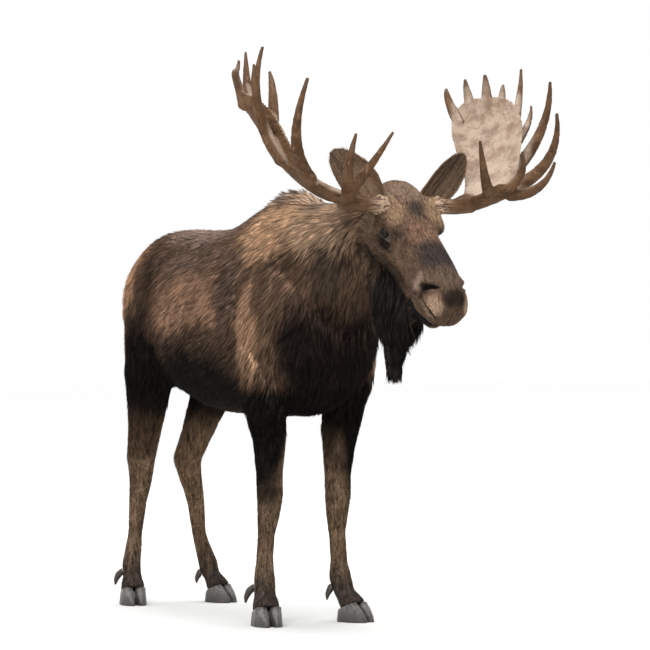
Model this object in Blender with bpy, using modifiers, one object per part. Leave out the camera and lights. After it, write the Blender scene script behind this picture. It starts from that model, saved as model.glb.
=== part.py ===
"""A bull moose, life size, standing still and looking a little to its left.

Metres, +Z up. The moose faces -Y and its left side is +X. Heights and half widths include the coat.
The body is lofted from rings, fused into one form, and then parted with thin cuts where a person
would name its parts. Antlers, ears, eyes, hooves, dewclaws, bell and tail are solids of their own.
"""

import math
from collections import namedtuple

import bmesh
import bpy
from mathutils import Matrix, Vector

GAP = 0.0005  # clear space between two neighbouring solids
LOOSE_GAP = 0.0015  # and where a curved piece stands on the body
LEFT, RIGHT = 1, -1
SIDE_NAME = {LEFT: "left", RIGHT: "right"}

# ---------------------------------------------------------------- driving dimensions
HUMP_HEIGHT = 1.955
BACK_HEIGHT = 1.80
BELLY_HEIGHT = 0.935
RUMP_Y = 0.87
CHEST_Y = -1.01
BARREL_HALF_WIDTH = 0.335

KNEE_HEIGHT = 0.565
HOCK_HEIGHT = 0.675
HOOF_HEIGHT = 0.085
FRONT_SIZE, HIND_SIZE = 1.0, 0.93  # the hind feet are a little smaller
FRONT_HOOF = {LEFT: Vector((0.254, -0.672, 0)), RIGHT: Vector((-0.198, -0.69, 0))}
HIND_HOOF = {LEFT: Vector((0.206, 0.59, 0)), RIGHT: Vector((-0.232, 0.64, 0))}
FETLOCK_BACK = 0.062  # the fetlocks stand this far behind the middles of the hooves
HOCK_INSET = 0.078  # the hocks stand closer together than the hooves
HOCK_SETBACK = 0.07  # and behind them
FETLOCK_INSET = 0.012  # and this far inside them
ELBOW_OUT = {LEFT: 0.012, RIGHT: -0.004}  # above the knee each foreleg leans this far outwards
ELBOW_MORE = {LEFT: 0.010, RIGHT: 0.005}  # and is half this much wider
TOE_OUT = {LEFT: math.radians(20), RIGHT: math.radians(10)}  # the feet point this far outwards
RIM_TILT = math.radians(22)  # a hoof's upper rim is higher in front
RIM_DROP = 0.012  # and its middle is this far below the hoof's height

HEAD_TURN = math.radians(5)  # to its left
HEAD_PITCH = math.radians(47)  # the face slopes down this far from level
EYE_MIDDLE = Vector((0.095, -1.477, 1.748))  # between the brows; places on the head start here
EYE_PLACE = (-0.015, -0.015, 0.124)  # each eye: along the face, out of it and sideways
EYE_RADIUS = 0.021
BURR_SPREAD = 0.146  # from the head's middle plane to the foot of each antler

BODY_VOXEL = 0.010
BODY_TRIANGLES = 2900
ANTLER_VOXEL = 0.006
WEB_VOXEL = 0.006
SINK = 0.001  # the webs between the tines lie this far inside them
ANTLER_TRIANGLES = 860
FORELEG_JOINT = 0.52  # the cannons start just below the knees
HINDLEG_JOINT = 0.60  # and just below the hocks
FETLOCK_TOP = 0.235
SHARP_FROM = math.radians(40)


# ---------------------------------------------------------------- frames
def head_axes():
    """The head's own axes: along the face to the nose, out of the forehead, and to its left."""
    turn = Matrix.Rotation(HEAD_TURN, 3, "Z")
    along = turn @ Vector((0, -math.cos(HEAD_PITCH), -math.sin(HEAD_PITCH)))
    out = turn @ Vector((0, -math.sin(HEAD_PITCH), math.cos(HEAD_PITCH)))
    left = turn @ Vector((1, 0, 0))
    return along, out, left


ALONG, OUT, HEAD_LEFT = head_axes()
UP = Vector((0, 0, 1))
HEAD_FORWARD = HEAD_LEFT.cross(UP)


def on_head(along, out, left=0.0):
    """A point given from between the eyes: towards the nose, out of the forehead, to its left."""
    return EYE_MIDDLE + ALONG * along + OUT * out + HEAD_LEFT * left


BURR_MIDDLE = on_head(-0.094, 0.064)


def by_antlers(side, lateral, forward, up):
    """A point given from between the antlers' feet, level with the ground."""
    return BURR_MIDDLE + HEAD_LEFT * (side * lateral) + HEAD_FORWARD * forward + UP * up


# ---------------------------------------------------------------- shaping tools
Ring = namedtuple("Ring", "centre across up half_width rise drop crown keel bow", defaults=(2, 2, 0))
# centre, the two directions of the ring's plane, its reach to each side, up and down,
# how full its upper and lower halves are (2 is an ellipse), and how far its edges bend up.


def between(p0, p1, p2, p3, t):
    """The smooth curve from p1 to p2, for numbers and vectors alike."""
    return 0.5 * (
        2 * p1 + (p2 - p0) * t + (2 * p0 - 5 * p1 + 4 * p2 - p3) * t * t
        + (3 * p1 - p0 - 3 * p2 + p3) * t ** 3
    )


def smooth_rings(rings, steps):
    """The rings with steps - 1 more between each two, all on one smooth body."""
    padded = [rings[0], *rings, rings[-1]]
    out = []
    for i in range(len(rings) - 1):
        four = padded[i:i + 4]
        for k in range(steps):
            t = k / steps
            values = [between(*(ring[j] for ring in four), t) for j in range(len(Ring._fields))]
            out.append(Ring(*values))
    return out + [rings[-1]]


def ring_points(ring, sides):
    """The corners of one ring, counted from its left side upwards."""
    points = []
    for k in range(sides):
        angle = 2 * math.pi * k / sides
        c, s = math.cos(angle), math.sin(angle)
        power, reach = (ring.crown, ring.rise) if s >= 0 else (ring.keel, ring.drop)
        x = math.copysign(abs(c) ** (2 / power), c)
        z = math.copysign(abs(s) ** (2 / power), s) * reach
        z += ring.bow * x * x
        points.append(ring.centre + ring.across.normalized() * x * ring.half_width + ring.up.normalized() * z)
    return points


def loft(name, rings, sides=24, steps=3):
    """A closed body through the rings."""
    bm = bmesh.new()
    loops = [[bm.verts.new(p) for p in ring_points(r, sides)] for r in smooth_rings(rings, steps)]
    for a, b in zip(loops, loops[1:]):
        for i in range(sides):
            j = (i + 1) % sides
            bm.faces.new((a[i], a[j], b[j], b[i]))
    for loop in (loops[0], loops[-1]):
        middle = bm.verts.new(sum((v.co for v in loop), Vector()) / sides)
        for i in range(sides):
            bm.faces.new((loop[i], loop[(i + 1) % sides], middle))
    bmesh.ops.recalc_face_normals(bm, faces=bm.faces)
    return as_object(name, bm)


def as_object(name, bm):
    mesh = bpy.data.meshes.new(name)
    bm.to_mesh(mesh)
    bm.free()
    made = bpy.data.objects.new(name, mesh)
    bpy.context.scene.collection.objects.link(made)
    return made


def round_spike(name, points, radii, sides=10, steps=3):
    """A round tapering spike through the points."""
    rings = []
    for i, point in enumerate(points):
        before, after = points[max(i - 1, 0)], points[min(i + 1, len(points) - 1)]
        way = (after - before).normalized()
        across = way.orthogonal().normalized() if i == 0 else rings[-1].across
        up = way.cross(across).normalized()
        across = up.cross(way).normalized()
        rings.append(Ring(point, across, up, radii[i], radii[i], radii[i]))
    return loft(name, rings, sides, steps)


def evaluated_copy(source, name):
    """A plain mesh object with the source's modifiers applied; the source is removed."""
    graph = bpy.context.evaluated_depsgraph_get()
    mesh = bpy.data.meshes.new_from_object(source.evaluated_get(graph))
    bpy.data.objects.remove(source)
    made = bpy.data.objects.new(name, mesh)
    bpy.context.scene.collection.objects.link(made)
    return made


def fuse(name, pieces, voxel, rounds, triangles):
    """The pieces as one body, its joins smoothed over, with about that many triangles."""
    bm = bmesh.new()
    for piece in pieces:
        bm.from_mesh(piece.data)
        bpy.data.objects.remove(piece)
    body = as_object(name, bm)
    remesh = body.modifiers.new("one_skin", "REMESH")
    remesh.mode = "VOXEL"
    remesh.voxel_size = voxel
    smooth = body.modifiers.new("soften", "SMOOTH")
    smooth.factor = 0.5
    smooth.iterations = rounds
    body = evaluated_copy(body, name)
    coarse = body.modifiers.new("coarse", "DECIMATE")
    coarse.ratio = triangles / (2 * len(body.data.polygons))
    body = evaluated_copy(body, name)
    drop_crumbs(body)
    return body


def webbing(pieces, reach, voxel):
    """The pieces' shape with its narrow hollows filled: grown, then drawn in by a little more."""
    bm = bmesh.new()
    for piece in pieces:
        bm.from_mesh(piece.data)
    bmesh.ops.recalc_face_normals(bm, faces=bm.faces)
    web = as_object("web", bm)
    for step in (reach, -reach - SINK):
        remesh = web.modifiers.new("one_skin", "REMESH")
        remesh.mode = "VOXEL"
        remesh.voxel_size = voxel
        soften = web.modifiers.new("soften", "SMOOTH")
        soften.iterations = 2
        web = evaluated_copy(web, "web")
        move_out(web, step)
    return web


def move_out(body, step):
    """Moves the whole surface along its normals."""
    mesh = body.data
    moved = [vertex.co + vertex.normal * step for vertex in mesh.vertices]
    for vertex, place in zip(mesh.vertices, moved):
        vertex.co = place


def drop_crumbs(body):
    """Takes away the specks that the remesh leaves beside the main body."""
    bm = bmesh.new()
    bm.from_mesh(body.data)
    groups = []
    unseen = set(bm.verts)
    while unseen:
        group = [unseen.pop()]
        for v in group:
            beside = {edge.other_vert(v) for edge in v.link_edges} & unseen
            unseen -= beside
            group.extend(sorted(beside, key=lambda other: other.index))
        groups.append(group)
    groups.sort(key=len)
    for group in groups[:-1]:
        bmesh.ops.delete(bm, geom=group, context="VERTS")
    bm.to_mesh(body.data)
    bm.free()


def boolean(target, other, operation):
    cut = target.modifiers.new(operation.lower(), "BOOLEAN")
    cut.operation = operation
    cut.object = other
    return evaluated_copy(target, target.name)


def grown(source, by):
    """A copy of the source, larger all round, to cut a neighbour with."""
    copy = bpy.data.objects.new(source.name + "_cutter", source.data.copy())
    bpy.context.scene.collection.objects.link(copy)
    swell = copy.modifiers.new("swell", "DISPLACE")
    swell.strength = by
    swell.mid_level = 0
    return evaluated_copy(copy, copy.name)


def cut_clear(target, *neighbours):
    """The target with its neighbours' room, and the gap, taken out of it."""
    for neighbour in neighbours:
        cutter = grown(neighbour, LOOSE_GAP)
        target = boolean(target, cutter, "DIFFERENCE")
        bpy.data.objects.remove(cutter)
    return target


def block(name, corner, opposite, turn=None):
    """A box between two corners, turned about the origin."""
    bm = bmesh.new()
    bmesh.ops.create_cube(bm, size=1)
    size, middle = Vector(opposite) - Vector(corner), (Vector(opposite) + Vector(corner)) / 2
    bmesh.ops.scale(bm, vec=size, verts=bm.verts)
    bmesh.ops.translate(bm, vec=middle, verts=bm.verts)
    if turn:
        bmesh.ops.rotate(bm, cent=Vector(), matrix=turn, verts=bm.verts)
    return as_object(name, bm)


def beyond(point, way):
    """A big block that holds everything past the plane through the point, in that way."""
    turn = Vector(way).to_track_quat("Z", "Y").to_matrix()
    made = block("beyond", (-2, -2, 0), (2, 2, 4), turn)
    made.data.transform(Matrix.Translation(point))
    return made


def both(first, second):
    """What two cutters share."""
    shared = boolean(first, second, "INTERSECT")
    bpy.data.objects.remove(second)
    return shared


# ---------------------------------------------------------------- trunk and neck
def trunk():
    """The barrel from the rump to the chest, with the hump over the shoulders."""
    across, up = Vector((1, 0, 0)), UP
    top, low, wide = BACK_HEIGHT, BELLY_HEIGHT, BARREL_HALF_WIDTH
    stations = (  # y, top, bottom, height of the widest place, half width, crown, keel
        (RUMP_Y, 1.61, 1.34, 1.48, 0.08, 2, 2),
        (RUMP_Y - 0.03, 1.68, 1.24, 1.47, 0.17, 2, 2),
        (RUMP_Y - 0.12, top - 0.05, 1.12, 1.43, 0.24, 2, 2),
        (0.58, top + 0.005, 1.05, 1.40, 0.28, 2.1, 2),
        (0.36, top + 0.01, 1.02, 1.37, 0.30, 2.1, 2),
        (0.10, top, low + 0.01, 1.34, wide - 0.01, 2, 2),
        (-0.15, top + 0.02, low - 0.005, 1.34, wide, 1.9, 2),
        (-0.38, HUMP_HEIGHT - 0.055, low - 0.005, 1.34, wide - 0.01, 1.7, 2),
        (-0.58, HUMP_HEIGHT + 0.01, low - 0.005, 1.36, wide - 0.025, 1.5, 2),
        (-0.78, HUMP_HEIGHT - 0.02, 0.945, 1.34, wide - 0.045, 1.6, 2),
        (-0.93, HUMP_HEIGHT - 0.12, 1.02, 1.32, wide - 0.085, 1.8, 2),
        (CHEST_Y, 1.68, 1.12, 1.33, 0.15, 2, 2),
    )
    rings = [
        Ring(Vector((0, y, mid)), across, up, half, high - mid, mid - bottom, crown, keel)
        for y, high, bottom, mid, half, crown, keel in stations
    ]
    return loft("trunk", rings, sides=32)


def neck():
    """A deep neck from between the shoulders to the back of the skull."""
    stations = (  # x, y, z, lean of the ring from upright, half width, rise, drop
        (0.00, -0.55, 1.50, 0, 0.25, 0.40, 0.38),
        (0.01, -0.80, 1.54, 8, 0.245, 0.37, 0.41),
        (0.03, -1.00, 1.59, 16, 0.215, 0.32, 0.385),
        (0.06, -1.17, 1.66, 24, 0.18, 0.26, 0.34),
        (0.08, -1.30, 1.73, 32, 0.15, 0.20, 0.285),
        (0.09, -1.42, 1.78, 40, 0.12, 0.14, 0.18),
    )
    rings = []
    for x, y, z, lean, half, rise, drop in stations:
        across = Matrix.Rotation(HEAD_TURN * min(1, -y - 0.3), 3, "Z") @ Vector((1, 0, 0))
        up = Matrix.Rotation(math.radians(lean), 3, "X") @ UP
        rings.append(Ring(Vector((x, y, z)), across, up, half, rise, drop, 1.8, 2))
    return loft("neck", rings)


# ---------------------------------------------------------------- head
def skull():
    """The long face: broad between the eyes, narrow below them, with a heavy drooping nose."""
    stations = (  # along the face, top, bottom, half width, crown, keel
        (-0.26, 0.060, -0.10, 0.080, 2, 2),
        (-0.21, 0.100, -0.18, 0.118, 2.2, 2),
        (-0.14, 0.114, -0.22, 0.134, 2.4, 2),
        (-0.07, 0.110, -0.235, 0.141, 2.6, 2),
        (0.00, 0.094, -0.235, 0.137, 2.6, 2),
        (0.08, 0.083, -0.21, 0.114, 2.5, 2),
        (0.16, 0.083, -0.175, 0.101, 2.6, 2),
        (0.24, 0.086, -0.150, 0.098, 2.7, 2.2),
        (0.31, 0.084, -0.135, 0.098, 2.6, 2.3),
        (0.375, 0.073, -0.125, 0.098, 2.4, 2.4),
        (0.427, 0.049, -0.118, 0.094, 2.3, 2.4),
        (0.466, 0.008, -0.105, 0.075, 2.2, 2.4),
        (0.482, -0.03, -0.085, 0.042, 2, 2),
    )
    rings = []
    for along, top, bottom, half, crown, keel in stations:
        middle = (top + bottom) / 2
        reach = (top - bottom) / 2
        rings.append(Ring(on_head(along, middle), HEAD_LEFT, OUT, half, reach, reach, crown, keel))
    return loft("skull", rings)


def jaw():
    """The lower jaw, shorter than the upper lip that hangs over it."""
    stations = (  # along, out, half width, half depth
        (-0.04, -0.165, 0.095, 0.075),
        (0.12, -0.162, 0.075, 0.060),
        (0.22, -0.150, 0.063, 0.046),
        (0.32, -0.146, 0.058, 0.038),
        (0.39, -0.143, 0.055, 0.038),
        (0.425, -0.135, 0.038, 0.026),
    )
    rings = [Ring(on_head(a, o), HEAD_LEFT, OUT, half, deep, deep) for a, o, half, deep in stations]
    return loft("jaw", rings, sides=18)


def brow(side):
    """The rise beside the forehead that carries the antler's foot and runs on above the eye."""
    foot = round_spike(
        "brow",
        [on_head(-0.095, 0.03, side * 0.05), on_head(-0.095, 0.060, side * (BURR_SPREAD - 0.005))],
        (0.066, 0.048),
        16,
    )
    ridge = round_spike(
        "ridge",
        [
            on_head(-0.08, 0.045, side * 0.108),
            on_head(-0.035, 0.046, side * 0.112),
            on_head(0.008, 0.035, side * 0.117),
            on_head(0.055, 0.020, side * 0.103),
        ],
        (0.030, 0.034, 0.034, 0.020),
        16,
    )
    return [foot, ridge]


def ear(side):
    """A leaf-shaped cup that opens forwards and a little outwards."""
    root, tip = by_antlers(side, 0.118, -0.085, 0.02), by_antlers(side, 0.352, -0.07, 0.228)
    way = tip - root
    opening = HEAD_FORWARD + HEAD_LEFT * side * 0.1 - UP * 0.25
    across = way.cross(opening).normalized()
    facing = across.cross(way).normalized()
    stations = (  # share of its length, half width, half thickness, how far the edges fold in
        (-0.10, 0.036, 0.022, 0.014),
        (0.12, 0.066, 0.016, 0.032),
        (0.32, 0.082, 0.009, 0.038),
        (0.55, 0.083, 0.007, 0.032),
        (0.77, 0.066, 0.006, 0.022),
        (0.92, 0.042, 0.005, 0.010),
        (1.0, 0.014, 0.004, 0.0),
    )
    rings = [
        Ring(root + way * share, across, facing, half, thick, thick, 2, 2, fold)
        for share, half, thick, fold in stations
    ]
    return loft("ear_" + SIDE_NAME[side], rings, sides=12, steps=1)


def eye(side):
    bm = bmesh.new()
    bmesh.ops.create_uvsphere(bm, u_segments=10, v_segments=7, radius=EYE_RADIUS)
    bmesh.ops.translate(bm, vec=on_head(*EYE_PLACE[:2], side * EYE_PLACE[2]), verts=bm.verts)
    return as_object("eye_" + SIDE_NAME[side], bm)


def bell():
    """The flap of skin and long hair that hangs from the throat."""
    stations = (  # y, z, half width, half length
        (-1.30, 1.66, 0.080, 0.11),
        (-1.33, 1.57, 0.088, 0.145),
        (-1.366, 1.48, 0.088, 0.172),
        (-1.393, 1.41, 0.084, 0.176),
        (-1.398, 1.35, 0.074, 0.152),
        (-1.38, 1.29, 0.056, 0.096),
        (-1.36, 1.21, 0.042, 0.056),
        (-1.36, 1.14, 0.036, 0.042),
        (-1.36, 1.115, 0.016, 0.020),
    )
    x = EYE_MIDDLE.x - 0.015
    rings = [level_ring(x, y, z, half, length, length) for y, z, half, length in stations]
    return loft("bell", rings, sides=10, steps=1)


def tail():
    """A short flat tail that hangs against the rump."""
    stations = (  # y, z, half width, half thickness
        (0.84, 1.60, 0.030, 0.018),
        (0.885, 1.55, 0.034, 0.020),
        (0.90, 1.47, 0.030, 0.018),
        (0.895, 1.41, 0.012, 0.008),
    )
    rings = [level_ring(0, y, z, half, thick, thick) for y, z, half, thick in stations]
    return loft("tail", rings, sides=10, steps=1)


# ---------------------------------------------------------------- legs
def level_ring(x, y, z, half, front, back):
    """A ring of a leg, lying level: its reach to the sides, forwards and backwards."""
    return Ring(Vector((x, y, z)), Vector((1, 0, 0)), Vector((0, -1, 0)), half, front, back)


def toe_way(side):
    """The way that a foot points: forwards, and turned out by TOE_OUT."""
    return Matrix.Rotation(side * TOE_OUT[side], 3, "Z") @ Vector((0, -1, 0))


def fetlock_of(foot, side):
    """The middle of the ankle joint, behind and a little inside the hoof."""
    return foot - toe_way(side) * FETLOCK_BACK - Vector((side * FETLOCK_INSET, 0, 0))


def foot_rings(foot, side, size):
    """The pastern down to the hoof's rim, turned out with the toes."""
    forward = toe_way(side)
    across = forward.cross(UP) * -1
    fetlock = fetlock_of(foot, side)
    stations = (  # share of the way to the hoof, height, half width, front, back
        (0.0, 0.205, 0.050, 0.055, 0.056),
        (0.24, 0.145, 0.050, 0.056, 0.056),
        (0.80, 0.10, 0.062, 0.066, 0.060),
        (1.18, 0.03, 0.066, 0.070, 0.056),
    )
    return [
        Ring(fetlock.lerp(foot, way) + UP * z, across, forward, half * size, front * size, back * size)
        for way, z, half, front, back in stations
    ]


def front_leg(side):
    """From the shoulder, past the elbow and the knee, down to the hoof's rim."""
    foot = FRONT_HOOF[side]
    fetlock = fetlock_of(foot, side)
    stations = (  # inward, back, height, half width, front, back
        (0.04, 0.00, 1.50, 0.10, 0.15, 0.17),
        (0.00, 0.00, 1.28, 0.125, 0.18, 0.19),
        (-0.012, 0.00, 1.11, 0.117, 0.150, 0.160),
        (0.0, -0.005, 0.98, 0.097, 0.112, 0.120),
        (0.018, -0.005, 0.82, 0.075, 0.078, 0.082),
        (0.020, -0.007, 0.68, 0.064, 0.060, 0.064),
        (0.020, -0.012, KNEE_HEIGHT + 0.01, 0.064, 0.060, 0.056),
        (0.018, -0.005, KNEE_HEIGHT - 0.08, 0.054, 0.049, 0.054),
        (0.012, 0.004, 0.40, 0.041, 0.041, 0.048),
        (0.004, 0.004, 0.28, 0.041, 0.041, 0.048),
    )
    rings = []
    for inward, behind, z, half, front, back in stations:
        share = min(1, max(0, (z - KNEE_HEIGHT) / 0.25))
        x = fetlock.x + side * (ELBOW_OUT[side] * share - inward)
        rings.append(level_ring(x, fetlock.y + behind, z, half + ELBOW_MORE[side] * share, front, back))
    return loft("front_leg", rings + foot_rings(foot, side, FRONT_SIZE), sides=20)


def hind_leg(side):
    """From the thigh, past the stifle and the hock, down to the hoof's rim."""
    foot = HIND_HOOF[side]
    fetlock = fetlock_of(foot, side)
    hock_x, hock_y = fetlock.x - side * HOCK_INSET, fetlock.y + HOCK_SETBACK
    rings = [
        level_ring(side * 0.14, 0.58, 1.56, 0.12, 0.19, 0.18),
        level_ring(side * 0.17, 0.54, 1.36, 0.125, 0.23, 0.225),
        level_ring(side * 0.170, hock_y - 0.21, 1.18, 0.110, 0.225, 0.225),
        level_ring(side * 0.160, hock_y - 0.15, 1.03, 0.092, 0.198, 0.170),
        level_ring(hock_x + side * 0.025, hock_y - 0.10, 0.88, 0.076, 0.160, 0.110),
        level_ring(hock_x + side * 0.01, hock_y - 0.045, 0.77, 0.065, 0.138, 0.110),
        level_ring(hock_x, hock_y - 0.015, HOCK_HEIGHT + 0.02, 0.060, 0.112, 0.115),
        level_ring(hock_x + side * 0.01, hock_y - 0.025, 0.59, 0.053, 0.082, 0.066),
        level_ring(hock_x + side * 0.03, hock_y - 0.035, 0.49, 0.044, 0.062, 0.048),
        level_ring(fetlock.x - side * 0.03, fetlock.y + 0.025, 0.33, 0.037, 0.038, 0.043),
    ]
    return loft("hind_leg", rings + foot_rings(foot, side, HIND_SIZE), sides=20)


def rim_block(name, foot, side, above):
    """A big block above or below the slanting plane of a hoof's upper rim."""
    low, high = (0, 1) if above else (-1, 0)
    made = block(name, (-0.3, -0.3, low), (0.3, 0.3, high), Matrix.Rotation(-RIM_TILT, 3, "X"))
    made.data.transform(Matrix.Rotation(side * TOE_OUT[side], 4, "Z"))
    made.data.transform(Matrix.Translation(foot + UP * (HOOF_HEIGHT - RIM_DROP)))
    return made


def claw(name, foot, side, half, size):
    """One half of a hoof: flat below, its front wall sloping to a blunt tip."""
    stations = (  # forward, half width, top, inward
        (-0.046, 0.022, 0.060, 0.0),
        (-0.026, 0.031, 0.095, 0.0),
        (0.030, 0.033, 0.115, 0.0),
        (0.066, 0.026, 0.068, 0.004),
        (0.091, 0.016, 0.033, 0.008),
        (0.101, 0.007, 0.015, 0.011),
    )
    forward = toe_way(side)
    across = forward.cross(UP) * -1
    rings = [
        Ring(
            foot + across * (half * (0.0345 - inward) * size) + forward * ahead * size + UP * 0.006,
            across, UP, width * size, (top - 0.006) * size, 0.02, 2.6, 3,
        )
        for ahead, width, top, inward in stations
    ]
    made = loft(name, rings, sides=8, steps=1)
    ground = block("ground", (-1, -2, -0.5), (1, 2, 0))
    above = rim_block("above", foot - UP * GAP, side, True)
    for cutter in (ground, above):
        made = boolean(made, cutter, "DIFFERENCE")
        bpy.data.objects.remove(cutter)
    return made


def dewclaw(name, foot, side, half, size):
    """A small horn spur that stands out beside and behind the pastern."""
    forward = toe_way(side)
    across = forward.cross(UP) * -1
    stations = (  # outward, back, height, radius
        (0.030, 0.075, 0.172, 0.016),
        (0.052, 0.088, 0.152, 0.018),
        (0.064, 0.096, 0.124, 0.013),
        (0.068, 0.096, 0.098, 0.004),
    )
    points = [
        foot + (across * half * outward - forward * back + UP * z) * size for outward, back, z, _ in stations
    ]
    return round_spike(name, points, [radius for *_, radius in stations], 6, 1)


# ---------------------------------------------------------------- antlers
# All places on an antler are lateral, forward and up from between the antlers' feet.
Tine = namedtuple("Tine", "root middle tip thickness")

BEAM = ((0.110, 0, -0.01), (0.150, 0, 0), (0.20, 0.003, -0.002), (0.26, 0, 0.003), (0.34, -0.015, 0.022))
BEAM_RADII = (0.034, 0.036, 0.032, 0.037, 0.050)
BURR = ((0.146, 0, -0.001), (0.158, 0, 0.001), (0.170, 0.001, 0.002))
BURR_RADII = (0.036, 0.044, 0.034)

BROW_PALM = (  # lateral, forward, up, half width, half thickness
    (0.325, 0.0, 0.012, 0.040, 0.036),
    (0.36, 0.075, 0.032, 0.056, 0.028),
    (0.395, 0.135, 0.062, 0.067, 0.021),
    (0.405, 0.165, 0.090, 0.058, 0.012),
)
LEFT_PALM = (  # lateral, forward, up, half width, half thickness, how deeply it is dished
    (0.32, -0.005, 0.018, 0.045, 0.042, 0.0),
    (0.41, -0.03, 0.052, 0.080, 0.040, 0.008),
    (0.50, -0.07, 0.125, 0.122, 0.030, 0.030),
    (0.552, -0.145, 0.22, 0.148, 0.021, 0.052),
    (0.595, -0.212, 0.32, 0.168, 0.016, 0.062),
    (0.628, -0.270, 0.41, 0.154, 0.012, 0.058),
    (0.640, -0.295, 0.465, 0.106, 0.010, 0.036),
    (0.645, -0.310, 0.50, 0.045, 0.008, 0.010),
)
RIGHT_PALM = (
    (0.32, -0.005, 0.02, 0.047, 0.043, 0.0),
    (0.415, -0.045, 0.057, 0.078, 0.040, 0.012),
    (0.505, -0.10, 0.123, 0.116, 0.030, 0.040),
    (0.572, -0.153, 0.209, 0.142, 0.021, 0.068),
    (0.617, -0.208, 0.318, 0.156, 0.016, 0.084),
    (0.648, -0.262, 0.418, 0.158, 0.012, 0.084),
    (0.660, -0.302, 0.478, 0.128, 0.010, 0.062),
    (0.66, -0.33, 0.52, 0.060, 0.008, 0.030),
)
LEFT_TINES = (  # from the palm's back corner along its top, down its front, and then the brow palm's
    Tine((0.515, -0.32, 0.36), (0.497, -0.393, 0.485), (0.511, -0.436, 0.550), 0.025),
    Tine((0.585, -0.33, 0.42), (0.586, -0.374, 0.520), (0.583, -0.396, 0.593), 0.025),
    Tine((0.64, -0.30, 0.44), (0.660, -0.335, 0.545), (0.659, -0.348, 0.615), 0.025),
    Tine((0.680, -0.25, 0.42), (0.712, -0.285, 0.513), (0.735, -0.306, 0.570), 0.022),
    Tine((0.670, -0.15, 0.33), (0.748, -0.210, 0.480), (0.805, -0.265, 0.642), 0.028),
    Tine((0.665, -0.10, 0.28), (0.755, -0.150, 0.385), (0.821, -0.215, 0.472), 0.020),
    Tine((0.61, -0.07, 0.18), (0.752, -0.050, 0.350), (0.779, -0.019, 0.568), 0.034),
    Tine((0.50, 0.0, 0.075), (0.665, 0.100, 0.195), (0.646, 0.207, 0.410), 0.036),
    Tine((0.41, 0.12, 0.055), (0.538, 0.197, 0.076), (0.593, 0.261, 0.193), 0.033),
    Tine((0.40, 0.14, 0.065), (0.442, 0.215, 0.130), (0.406, 0.271, 0.232), 0.027),
    Tine((0.37, 0.09, 0.045), (0.292, 0.158, 0.120), (0.199, 0.249, 0.273), 0.033),
)
RIGHT_TINES = (
    Tine((0.500, -0.31, 0.34), (0.456, -0.375, 0.49), (0.435, -0.433, 0.589), 0.026),
    Tine((0.575, -0.34, 0.42), (0.535, -0.40, 0.515), (0.513, -0.440, 0.617), 0.024),
    Tine((0.62, -0.31, 0.44), (0.597, -0.36, 0.545), (0.579, -0.400, 0.663), 0.024),
    Tine((0.67, -0.26, 0.42), (0.66, -0.32, 0.525), (0.648, -0.347, 0.621), 0.023),
    Tine((0.705, -0.18, 0.38), (0.733, -0.22, 0.480), (0.720, -0.270, 0.563), 0.025),
    Tine((0.60, -0.07, 0.18), (0.722, -0.068, 0.385), (0.733, -0.016, 0.652), 0.036),
    Tine((0.48, 0.0, 0.075), (0.642, 0.100, 0.245), (0.653, 0.207, 0.510), 0.038),
    Tine((0.37, 0.09, 0.045), (0.44, 0.19, 0.140), (0.455, 0.271, 0.283), 0.033),
    Tine((0.37, 0.09, 0.050), (0.335, 0.172, 0.135), (0.251, 0.249, 0.295), 0.032),
)
SAMPLES = 7  # places along each tine
TAPER = 0.77  # how much thinner a tine's tip is than its root
CROTCH = 0.013  # how round the hollows between the tines are


def antler(side, palm, tines):
    """A beam that spreads into a brow palm in front and a broad dished palm behind, all with tines."""

    def spot(place):
        return by_antlers(side, *place)

    def way(*turn):
        return spot(turn) - spot((0, 0, 0))

    palm_across, palm_inward = way(0.60, 0.80, 0.05), way(-0.55, 0.38, 0.40)
    palm_rings = [
        Ring(spot(place), palm_across, palm_inward, half, thick, thick, 2, 2, dish)
        for *place, half, thick, dish in palm
    ]
    brow_across, brow_up = way(0.6, 0.2, 0), way(-0.2, -0.2, 0.6)
    brow_rings = [
        Ring(spot(place), brow_across, brow_up, half, thick, thick) for *place, half, thick in BROW_PALM
    ]
    pieces = [
        round_spike("beam", [spot(place) for place in BEAM], BEAM_RADII, 14),
        round_spike("burr", [spot(place) for place in BURR], BURR_RADII, 14),
        loft("palm", palm_rings, sides=24),
        loft("brow_palm", brow_rings, sides=18),
    ]
    shares = [i / (SAMPLES - 1) for i in range(SAMPLES)]
    for one in tines:
        root, middle, tip = spot(one.root), spot(one.middle), spot(one.tip)
        points = [
            root * (2 * t - 1) * (t - 1) + middle * 4 * t * (1 - t) + tip * t * (2 * t - 1) for t in shares
        ]
        radii = [one.thickness * (1 - TAPER * t ** 1.5) for t in shares]
        pieces.append(round_spike("tine", points, radii, 10, 1))
    pieces.append(webbing(pieces, CROTCH, WEB_VOXEL))
    return fuse("antler_" + SIDE_NAME[side], pieces, ANTLER_VOXEL, 3, ANTLER_TRIANGLES)


# ---------------------------------------------------------------- parting
NAPE = (-0.24, 0.12)  # the head is parted from the neck by a plane through here,
FACE_WAY = ALONG * 0.85 + OUT * 0.52  # square to this
WITHERS = Vector((0, -0.70, HUMP_HEIGHT))  # and the neck from the trunk by one through here,
CHEST_WAY = Vector((0, -0.955, 0.298))  # square to this


def take(body, region, name):
    """Parts the body: what lies in the region, and the rest, which keeps clear of it."""
    piece = bpy.data.objects.new(name, body.data.copy())
    bpy.context.scene.collection.objects.link(piece)
    piece = boolean(piece, region, "INTERSECT")
    wider = grown(region, GAP)
    rest = boolean(body, wider, "DIFFERENCE")
    bpy.data.objects.remove(wider)
    bpy.data.objects.remove(region)
    return piece, rest


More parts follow.
